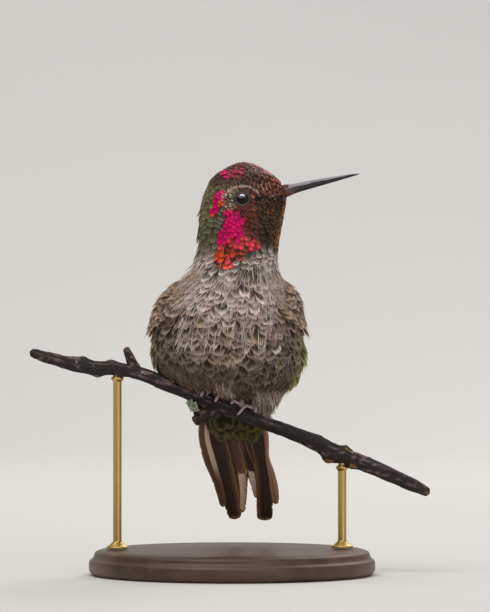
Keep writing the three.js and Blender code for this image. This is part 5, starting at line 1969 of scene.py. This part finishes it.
class FeatherOperator:
    """What every operator here shares."""

    bl_options = {"REGISTER", "UNDO"}

    def settings(self, context):
        return context.scene.hummingbird_coat, context.scene.hummingbird_bare


class HUMMINGBIRD_OT_skin(FeatherOperator, bpy.types.Operator):
    """Makes the one skin that stands for the head, neck and trunk"""

    bl_idname = "hummingbird.skin"
    bl_label = "Skin"

    def execute(self, context):
        look, _ = self.settings(context)
        rows, columns = 190, 150
        s, angle, points = skin_points(look, rows, columns)
        marks = markings(look, points, angle, np.full(len(s), 0.5))
        maps, tints = {"OFBake": unwrap(s, angle)}, {"tint": marks.centre}
        faces = flipped(tube_faces(rows - 2, columns))
        skin = write_piece("plumage_skin", points, faces, skin_finish(), maps, tints)
        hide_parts("head", "neck", "trunk")
        return {"FINISHED"}


class HUMMINGBIRD_OT_coat(FeatherOperator, bpy.types.Operator):
    """Grows the feathers of the head and the body over the skin"""

    bl_idname = "hummingbird.coat"
    bl_label = "Coat"

    def execute(self, context):
        look, _ = self.settings(context)
        rng = np.random.default_rng(look.seed)
        s, angle, points, normals, lie, gap = coat_roots(look.seed)
        lie = swung(lie, normals, rng.normal(0.0, np.where(points[:, 2] > NAPE_LEVEL, 0.07, 0.12)))
        zones = zones_of_coat(points, s, angle)
        on_head = (points[:, 2] > HEAD_LEVEL) | in_gorget(points)
        stretch = np.where(on_head, 2.3, 1.95) * rng.uniform(0.94, 1.06, len(s))
        size, width = gap * stretch, gap * np.where(on_head, 1.42, 1.2)
        from_eye, away = eye_distance(points)
        heading_to = (lie * away).sum(-1)
        room = np.where(heading_to < -0.2, np.maximum(from_eye - LIDS_REACH, 0.3), 9.0)
        size = np.where((points[:, 2] > 82) & (from_eye < 5), np.minimum(size, room), size)
        seen = points + lie * size[:, None] * 0.8
        chance = rng.random(len(s))
        turned, level = np.abs(angle), points[:, 2]
        fringe = smooth(turned, 1.15, 1.4) * smooth(turned, 1.9, 1.6) * smooth(level, 58.0, 53.0)
        loose = 0.9 * fringe * rng.random(len(s)) * smooth(level, 40.0, 44.0)
        nape = (zones == "nape") * smooth(turned, 0.9, 1.3) * smooth(turned, 2.6, 2.2)
        nape = nape * smooth(level, 92.0, 88.0)
        loose = loose + 2.0 * nape * np.maximum(0.0, rng.random(len(s)) - 0.6)
        down = smooth(level, 50.0, 43.0) * smooth(level, 36.0, 39.0) * smooth(turned, 1.8, 1.4)
        size, width = above_hem(points, lie, size * (1 + 0.25 * down)), width * (1 - 0.38 * down)
        marks = markings(look, seen, angle, chance)
        fine = vane_template(7, [0, 0.35, 0.6, 0.82, 0.93, 1], 0)
        broad = vane_template(9, [0, 0.3, 0.55, 0.75, 0.88, 0.96, 1], 15)
        slots = {"crown": "crown_feathers", "face": "crown_feathers", "throat": "gorget_feathers"}
        scales = feather_finish("scale_feathers", 0.75, 60.0, 0.62, (0.78, 1.0), 0.1, 0.5)
        contour = feather_finish("contour_feathers", 0.3, 90.0, 0.9, (0.52, 1.02), 0.0, 0.5, 0.42)
        for name in COAT_ZONES:
            small = name in ("face", "crown", "throat", "nape")
            template, finish = (fine, scales) if small else (broad, contour)
            here = zones == name
            halves = {"upper": np.flatnonzero(here & (s < 0.5)), "lower": np.flatnonzero(here & (s >= 0.5))}
            halves = {half: chosen for half, chosen in halves.items() if len(chosen)}
            for half, chosen in halves.items():
                chart, x, y = on_chart(half, s[chosen], angle[chosen])
                tufts = Tufts(chart, x, y, lie[chosen], size[chosen], width[chosen])
                depth = np.interp(level[chosen], DEPTH_LEVELS, [0.6, 0.7, 0.9, 1.15, 0.36])
                lift = rng.uniform(0.0, 0.14, len(chosen)) * np.where(on_head[chosen], 1.0, 1.8)
                lift = lift + loose[chosen]
                camber = np.where(on_head[chosen], 0.08, 0.05) * width[chosen]
                round_tip = rng.uniform(0.75, 0.95, len(chosen)) + (0.0 if small else 0.3)
                grown = tufts.grown(template, rng, -depth, lift, camber, 0.02 if small else 0.07, round_tip)
                piece = f"coat_{name}_{half}" if len(halves) > 1 else f"coat_{name}"
                fine_marks = look if name in slots else None
                patch_at = unwrap(s[chosen], angle[chosen])
                picked = marks.picked(chosen)
                write_tufts(piece, finish, template, grown, picked, patch_at, rng, fine_marks)
        self.muzzle(look, rng, fine, scales)
        finish = feather_finish("loose_barbs", 0.0, 60.0, 0.8, (0.25, 0.7), 0.0, 0.1)
        for name, wisp in WISPS.items():
            self.strands(look, rng, finish, name, **wisp)
        return {"FINISHED"}

    def muzzle(self, look, rng, template, finish):
        """The wedge of tiny feathers that reaches forward over the base of the bill."""
        x, y = rng.uniform(-np.pi, np.pi, 3000), rng.uniform(9.0, 14.0, 3000)
        end = np.interp(np.sin(x), *zip(*MUZZLE_END))
        x, y = x[y < end - 0.7], y[y < end - 0.7]
        points, normals, lie = MUZZLE_CHART.at(x, y), MUZZLE_CHART.normal(x, y), MUZZLE_CHART.slopes(x, y)[1]
        lie = unit(lie)
        kept = throw(points, np.full(len(x), 0.46), lie, 0.6)
        x, y, points, lie, normals = (grid[kept] for grid in (x, y, points, lie, normals))
        count = len(x)
        lie = swung(lie, normals, rng.normal(0.0, 0.15, count))
        tufts = Tufts(MUZZLE_CHART, x, y, lie, rng.uniform(0.85, 1.15, count), np.full(count, 0.56))
        grown = tufts.grown(template, rng, -0.2, rng.uniform(0.0, 0.1, count), 0.05, 0.05, 0.9)
        marks = markings(look, points, np.zeros(count), rng.random(count))
        patch_at = np.stack([0.5 + x / (2 * np.pi), (y - 9.0) / 6.0], axis=-1)
        write_tufts("coat_muzzle", finish, template, grown, marks, patch_at, rng, look)

    def strands(
        self, look, rng, finish, name, tries, s, angle, slant, size, broad, lift, wisp, inks, root=None
    ):
        """Long loose barbs: kept where a drift is above `wisp`, slanting by `slant` of their way
        down, and coloured by one of the `inks`, over a root's colour where one is given."""
        s, angle = rng.uniform(*s, tries), rng.uniform(*angle, tries)
        points = plumage(s, angle)
        wisps = rough_drift(points * np.array([0.62, 0.3, 0.2]), 1.0)
        kept = (wisps + 0.16 * rng.random(tries) > wisp) & ~in_gorget(points)
        s, angle, points, count = s[kept], angle[kept], points[kept], int(kept.sum())
        lean = slant + 0.7 * (rough_drift(points + 40.0, 0.14) - 0.5) + rng.normal(0.0, 0.16, count)
        lie = swung(down_body(s, angle), body_normal(s, angle), lean)
        long = above_hem(points, lie, rng.uniform(*size, count))
        chart, x, y = on_chart("upper" if s.mean() < 0.6 else "lower", s, angle)
        tufts = Tufts(chart, x, y, lie, long, np.full(count, broad))
        template = vane_template(3, [0, 0.35, 0.7, 1], 0)
        grown = tufts.grown(template, rng, 0.1, rng.uniform(*lift, count), 0.06, 0.0, 0.3, 0.75)
        marks = Marks(points)
        ink = rng.integers(0, len(inks), count)
        for number, shade in enumerate(inks):
            marks.lay(ink == number, getattr(look, root or shade), getattr(look, shade))
        places = unwrap(s, angle)
        write_tufts(f"coat_{name}", finish, template, grown, marks, places, rng)


class HUMMINGBIRD_OT_wings(FeatherOperator, bpy.types.Operator):
    """Lays the folded flight feathers and the coverts of both wings"""

    bl_idname = "hummingbird.wings"
    bl_label = "Wings"

    def execute(self, context):
        look, bare = self.settings(context)
        flight = quill_finish("flight_feathers", bare.quill, bare.quill_edge, bare.quill_edge, 0.1)
        covert = feather_finish("covert_feathers", 0.3, 90.0, 0.8, (0.55, 1.02), 0.1, 0.55, 0.4)
        down = skin_finish()
        template = vane_template(9, [0, 0.3, 0.55, 0.78, 0.92, 1], 9)
        for side, sign in (("right", -1), ("left", 1)):
            rng = np.random.default_rng(look.seed + 10 + sign)
            heap = flight_feathers(side, rng)
            feathers = heap.write(f"wing_quills_{side}", flight, "flight_feathers", ["Vane"], ["inner"], True)
            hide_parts(f"wing_primaries_{side}")
            for number, pad in enumerate(PADS):
                self.pad(look, side, sign, number, pad, covert, down, template, rng)
        return {"FINISHED"}

    def pad(self, look, side, sign, number, pad, covert, down, template, rng):
        """One pad of coverts: its downy body and the feathers over its outer face."""
        ball, faces = ball_points(22, 30)
        body = pad_surface(pad, sign, 0.9)(ball[:, 0] * 0.97, -ball[:, 1] * 0.93, ball[:, 2])
        turned = math.radians(0.5 * (pad["front"] + pad["back"]))
        spread = math.radians(0.5 * (pad["back"] - pad["front"]))
        chart = Chart(pad_surface(pad, sign), -float(sign))
        x, y = rng.uniform(-1.2, 1.2, (2, 9000))
        inside = (np.hypot(x, y) < 0.985) | ((np.hypot(x, y) < 1.12) & (y < 0.35))
        x, y = x[inside], y[inside]
        points, normals, back = chart.at(x, y), chart.normal(x, y), np.array([0.0, 0.25, 0.0])
        back = back - normals * (normals * back).sum(-1, keepdims=True)
        lie = unit(unit(chart.slopes(x, y)[1]) + back)
        gap = np.interp(y, [-1, 0, 1], [1.35, 1.6, 2.0])
        kept = throw(points, gap, lie, 1.2)
        x, y, points, normals, lie, gap = (grid[kept] for grid in (x, y, points, normals, lie, gap))
        lie = swung(lie, normals, rng.normal(0.0, 0.12, len(kept)))
        size = gap * 2.0 * rng.uniform(0.9, 1.15, len(kept)) * (1 - 0.3 * smooth(y, 0.4, 0.95))
        tufts = Tufts(chart, x, y, lie, size, gap * 1.3)
        lift, round_tip = rng.uniform(-0.05, 0.25, len(kept)), rng.uniform(0.8, 1.2, len(kept))
        grown = tufts.grown(template, rng, -0.75, lift, 0.12, 0.07, round_tip)
        marks = self.marks(look, points, np.abs(turned + x * spread), number)
        tints = {"tint": self.marks(look, body, turned + ball[:, 0] * spread, number).centre}
        flat = lambda a, b: np.stack([0.5 + 0.47 * a, 0.5 - 0.47 * b], axis=-1)
        maps, faces = {"OFBake": flat(ball[:, 0], -ball[:, 1])}, faces if sign > 0 else flipped(faces)
        name = f"covert_pad_{side}_{number}"
        padding = write_piece(name, body, faces, down, maps, tints)
        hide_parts(f"wing_coverts_{side}")
        name, places = f"coat_coverts_{side}_{number}", flat(x, y)
        write_tufts(name, covert, template, grown, marks, places, rng)

    def marks(self, look, points, turned, number):
        """Buff shoulders in front, bronze-green towards the back, and on the second pad a
        yellow-green front edge."""
        marks = Marks(points)
        marks.lay(np.ones(len(points)), look.covert, look.covert_edge, 0.2)
        marks.lay(smooth(turned, 2.6, 1.9), look.shoulder, look.buff, 0.05)
        marks.lay(number * smooth(turned, 2.0, 1.75) * 0.85, look.wash, look.wash_edge, 0.1)
        return marks


class HUMMINGBIRD_OT_tail(FeatherOperator, bpy.types.Operator):
    """Makes the ten feathers of the tail"""

    bl_idname = "hummingbird.tail"
    bl_label = "Tail"

    def execute(self, context):
        look, bare = self.settings(context)
        rng = np.random.default_rng(look.seed + 20)
        heap = Heap()
        for side in ("right", "left"):
            for layer in range(5):
                tail_feather(heap, side, layer, rng)
        inks = (bare.tail, bare.tail_pale, bare.tail_edge, 0.05, bare.tail_rust)
        finish = quill_finish("tail_feathers", *inks)
        tail = heap.write("tail_fan", finish, "tail_feathers", ["Vane"], ["inner", "rust"], True)
        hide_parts("tail")
        return {"FINISHED"}


class HUMMINGBIRD_OT_undertail(FeatherOperator, bpy.types.Operator):
    """Hangs the large feathers under the tail, in two lobes"""

    bl_idname = "hummingbird.undertail"
    bl_label = "Undertail"

    def execute(self, context):
        look, _ = self.settings(context)
        rng = np.random.default_rng(look.seed + 40)
        heap = Heap()
        for root, tip, broad, out in UNDERTAIL:
            before = heap.count
            undertail_covert(heap, root, tip, broad, out, rng)
            shade, count = rng.uniform(0.8, 1.2), heap.count - before
            heap.note(count, tint=np.array(look.under) * shade, tip=np.array(look.under_edge) * shade)
            local = heap.values["Vane"][-1].clip(0, 1) - 0.5
            heap.note(count, OFBake=local * PATCH + (0.5 + 0.02 * root, 0.4 + 0.02 * out))
        finish = feather_finish("undertail_feathers", 0.0, 60.0, 0.9, (0.25, 1.15), 0.0, 0.3, 1.1, "tip", 1.5)
        heap.write("undertail_coverts", finish, "breast_feathers", ["Vane", "OFBake"], ["tint", "tip"], True)
        return {"FINISHED"}


class HUMMINGBIRD_OT_bill(FeatherOperator, bpy.types.Operator):
    """Makes the two halves of the bill"""

    bl_idname = "hummingbird.bill"
    bl_label = "Bill"

    def execute(self, context):
        _, bare = self.settings(context)
        finish = bill_finish(bare)
        for name, upper in (("bill_upper", True), ("bill_lower", False)):
            heap = Heap()
            bill_half(heap, upper)
            half = heap.write(f"{name}_horn", finish, "bill", (), ["worn", "flush"])
            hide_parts(name)
        return {"FINISHED"}


class HUMMINGBIRD_OT_eyes(FeatherOperator, bpy.types.Operator):
    """Makes the eyes and their lids"""

    bl_idname = "hummingbird.eyes"
    bl_label = "Eyes"

    def execute(self, context):
        look, bare = self.settings(context)
        lids = lid_finish()
        for side, sign in (("right", 1), ("left", -1)):
            rng = np.random.default_rng(look.seed + 30)
            points, faces, gaze, wet = eyeball(sign)
            finish = eye_finish(bare, side)
            eye = write_piece(f"eyeball_{side}", points, faces, finish, {"Gaze": gaze}, {"wet": wet})
            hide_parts(f"eye_{side}")
            heap = Heap()
            lid_ring(heap, bare, sign, rng)
            heap.write(f"lids_{side}", lids, "eye", (), ["tint"])
        return {"FINISHED"}


class HUMMINGBIRD_OT_feet(FeatherOperator, bpy.types.Operator):
    """Makes the feet that grip the twig"""

    bl_idname = "hummingbird.feet"
    bl_label = "Feet"

    def execute(self, context):
        _, bare = self.settings(context)
        finish = toe_finish(bare)
        for side in FEET:
            heap = Heap()
            foot(heap, side)
            made = heap.write(f"foot_{side}", finish, "toes", (), ["claw"])
            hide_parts(f"leg_{side}")
        return {"FINISHED"}


class HUMMINGBIRD_OT_perch(FeatherOperator, bpy.types.Operator):
    """Makes the twig, its broken shoots and its lichen"""

    bl_idname = "hummingbird.perch"
    bl_label = "Perch"

    def execute(self, context):
        look = context.scene.hummingbird_perch
        rng = np.random.default_rng(PERCH_SEED)
        heap = Heap()
        twig_stem(heap)
        for stub in STUBS:
            twig_stub(heap, stub, rng)
        perch = heap.write("perch_bark", bark_finish(look), "bark", (), ["ridge", "crust", "wood"])
        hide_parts("perch_twig")
        tufts = Heap()
        for middle, size, lobes in LICHEN:
            lichen_tuft(tufts, np.array(middle), size, lobes, rng)
        tufts.write("perch_lichen", lichen_finish(look), "bark", (), ["pale"])
        return {"FINISHED"}


class HUMMINGBIRD_OT_stand(FeatherOperator, bpy.types.Operator):
    """Turns the base and makes the two rods that hold the twig"""

    bl_idname = "hummingbird.stand"
    bl_label = "Stand"

    def execute(self, context):
        look = context.scene.hummingbird_stand
        radius = (BASE_HIGH.x - BASE_LOW.x) / 2 / MM
        high = BASE_HIGH.z / MM
        corners = [(AXIS, 0), (radius - 1.2, 0), (radius, 0.9), (radius, high - 2.6)]
        corners += [(radius - 1.1, high - 1.9), (radius - 1.4, high - 0.5), (radius - 3.2, high)]
        corners += [(AXIS, high)]
        points, faces = closed_tube(turned_rings(rounded(corners, 0.7, 7), (0, 0, 0), 128))
        base = write_piece("stand_turned_base", points, faces, walnut_finish(look))
        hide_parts("stand_base")
        brass = brass_finish(look)
        for side in ("right", "left"):
            node = f"stand_rod_{side}"
            low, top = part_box(node)
            x, y = (low.x + top.x) / 2 / MM, (low.y + top.y) / 2 / MM
            foot, head = low.z / MM, self.under_twig(x)
            rod, collar = look.rod, look.collar
            corners = [(AXIS, foot), (collar, foot), (collar, foot + 0.5), (collar * 0.75, foot + 0.8)]
            corners += [(collar * 0.6, foot + 1.2), (rod, foot + 1.7), (rod, head - 1.5)]
            corners += [(rod * 1.5, head - 1.1), (rod * 1.5, head - 0.6), (rod * 0.9, head - 0.3)]
            corners += [(rod * 0.9, head + 0.5), (AXIS, head + 0.5)]
            points, faces = closed_tube(turned_rings(rounded(corners, 0.3, 5), (x, y, 0), 40))
            made = write_piece(f"stand_brass_rod_{side}", points, faces, brass)
            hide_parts(node)
        return {"FINISHED"}

    def under_twig(self, x):
        """The level of the twig's underside at x."""
        place = TWIG_LINE.at(twig_place(x))
        return place[2] - place[3]


class HUMMINGBIRD_OT_studio(FeatherOperator, bpy.types.Operator):
    """Lays the floor that curves up behind, and sets the lights and the camera"""

    bl_idname = "hummingbird.studio"
    bl_label = "Studio"

    def execute(self, context):
        look = context.scene.hummingbird_studio
        k = np.linspace(0, 0.5 * np.pi, 25)
        near, far, bend = -2000.0, 1500.0, 700.0
        y = np.concatenate([[near, 0.0], far - bend + bend * np.sin(k), [far]])
        z = np.concatenate([[0.0, 0.0], bend - bend * np.cos(k), [2200.0]])
        x = np.linspace(-2500.0, 2500.0, 9)
        points = np.stack([np.tile(x, len(y)), np.repeat(y, len(x)), np.repeat(z, len(x))], axis=-1)
        f = Finish("studio_floor", roughness=0.9)
        cloud = f.noise(6.0, 2.0)
        finish = f.done(f.mixed(cloud, darker(look.floor, 0.97), look.floor))
        mesh = bpy.data.meshes.new("studio_floor")
        mesh.from_pydata((points * MM).tolist(), [], grid_faces(len(y), len(x)).tolist())
        mesh.polygons.foreach_set("use_smooth", [True] * len(mesh.polygons))
        mesh.materials.append(finish)
        floor = bpy.data.objects.new("studio_floor", mesh)
        context.scene.collection.objects.link(floor)
        middle = np.array(look.middle) * MM
        self.light("key_light", (-0.3, -0.6, 1.08), middle, (1.4, 0.5), look.key, (1.0, 0.97, 0.93))
        self.light("fill_light", (0.7, -1.1, 0.35), middle, (0.8, 0.8), look.fill, (0.95, 0.97, 1.0))
        self.light("rim_light", (0.45, 0.75, 0.7), middle, (0.5, 0.5), look.rim, (1.0, 0.98, 0.95))
        wall = np.array([0.0, 1.3, 0.3])
        self.light("wall_light", (0.0, -0.9, 1.0), wall, (1.8, 0.5), look.wall, (1.0, 0.98, 0.96))
        world = bpy.data.worlds.new("studio_air")
        world.use_nodes = True
        air = next(node for node in world.node_tree.nodes if node.type == "BACKGROUND")
        air.inputs["Color"].default_value = (0.92, 0.95, 1.0, 1.0)
        air.inputs["Strength"].default_value = 0.28
        context.scene.world = world
        context.scene.view_settings.view_transform = "Standard"
        camera = bpy.data.cameras.new("camera")
        camera.lens, camera.sensor_width = look.lens, 36.0
        away = look.reach * MM * look.lens / camera.sensor_width
        seat = bpy.data.objects.new("camera", camera)
        seat.location = (middle[0], middle[1] - away, middle[2])
        seat.rotation_euler = (math.pi / 2, 0.0, 0.0)
        context.scene.collection.objects.link(seat)
        context.scene.camera = seat
        return {"FINISHED"}

    def light(self, name, place, target, size, power, tint):
        """A soft light, as wide and deep as its size says, that faces the target."""
        data = bpy.data.lights.new(name, "AREA")
        data.shape = "RECTANGLE"
        data.size, data.size_y = size
        data.energy, data.color = power, tint
        lamp = bpy.data.objects.new(name, data)
        lamp.location = target + np.array(place)
        lamp.rotation_euler = (Vector(target) - lamp.location).to_track_quat("-Z", "Y").to_euler()
        bpy.context.scene.collection.objects.link(lamp)


class HUMMINGBIRD_PT_panel(bpy.types.Panel):
    """The settings and the pieces, in the order in which they are made"""

    bl_label = "Hummingbird"
    bl_space_type = "VIEW_3D"
    bl_region_type = "UI"
    bl_category = "Hummingbird"

    def draw(self, context):
        for group in GROUPS:
            settings = getattr(context.scene, group)
            for name in settings.__annotations__:
                self.layout.prop(settings, name)
        for operator in OPERATORS:
            self.layout.operator(operator.bl_idname)


GROUPS = {
    "hummingbird_coat": CoatSettings,
    "hummingbird_bare": BareSettings,
    "hummingbird_perch": PerchSettings,
    "hummingbird_stand": StandSettings,
    "hummingbird_studio": StudioSettings,
}
OPERATORS = [
    HUMMINGBIRD_OT_studio,
    HUMMINGBIRD_OT_skin,
    HUMMINGBIRD_OT_coat,
    HUMMINGBIRD_OT_wings,
    HUMMINGBIRD_OT_tail,
    HUMMINGBIRD_OT_undertail,
    HUMMINGBIRD_OT_bill,
    HUMMINGBIRD_OT_eyes,
    HUMMINGBIRD_OT_feet,
    HUMMINGBIRD_OT_perch,
    HUMMINGBIRD_OT_stand,
]


def register():
    for group in (*GROUPS.values(), *OPERATORS, HUMMINGBIRD_PT_panel):
        bpy.utils.register_class(group)
    for name, group in GROUPS.items():
        setattr(bpy.types.Scene, name, PointerProperty(type=group))


def unregister():
    for name in GROUPS:
        delattr(bpy.types.Scene, name)
    for group in reversed((*GROUPS.values(), *OPERATORS, HUMMINGBIRD_PT_panel)):
        bpy.utils.unregister_class(group)


def main():
    register()
    for operator in OPERATORS:
        make = getattr(bpy.ops.hummingbird, operator.bl_idname.split(".")[1])
        if make() != {"FINISHED"}:
            raise RuntimeError(f"{operator.bl_label} was not made")


if __name__ == "__main__":
    main()
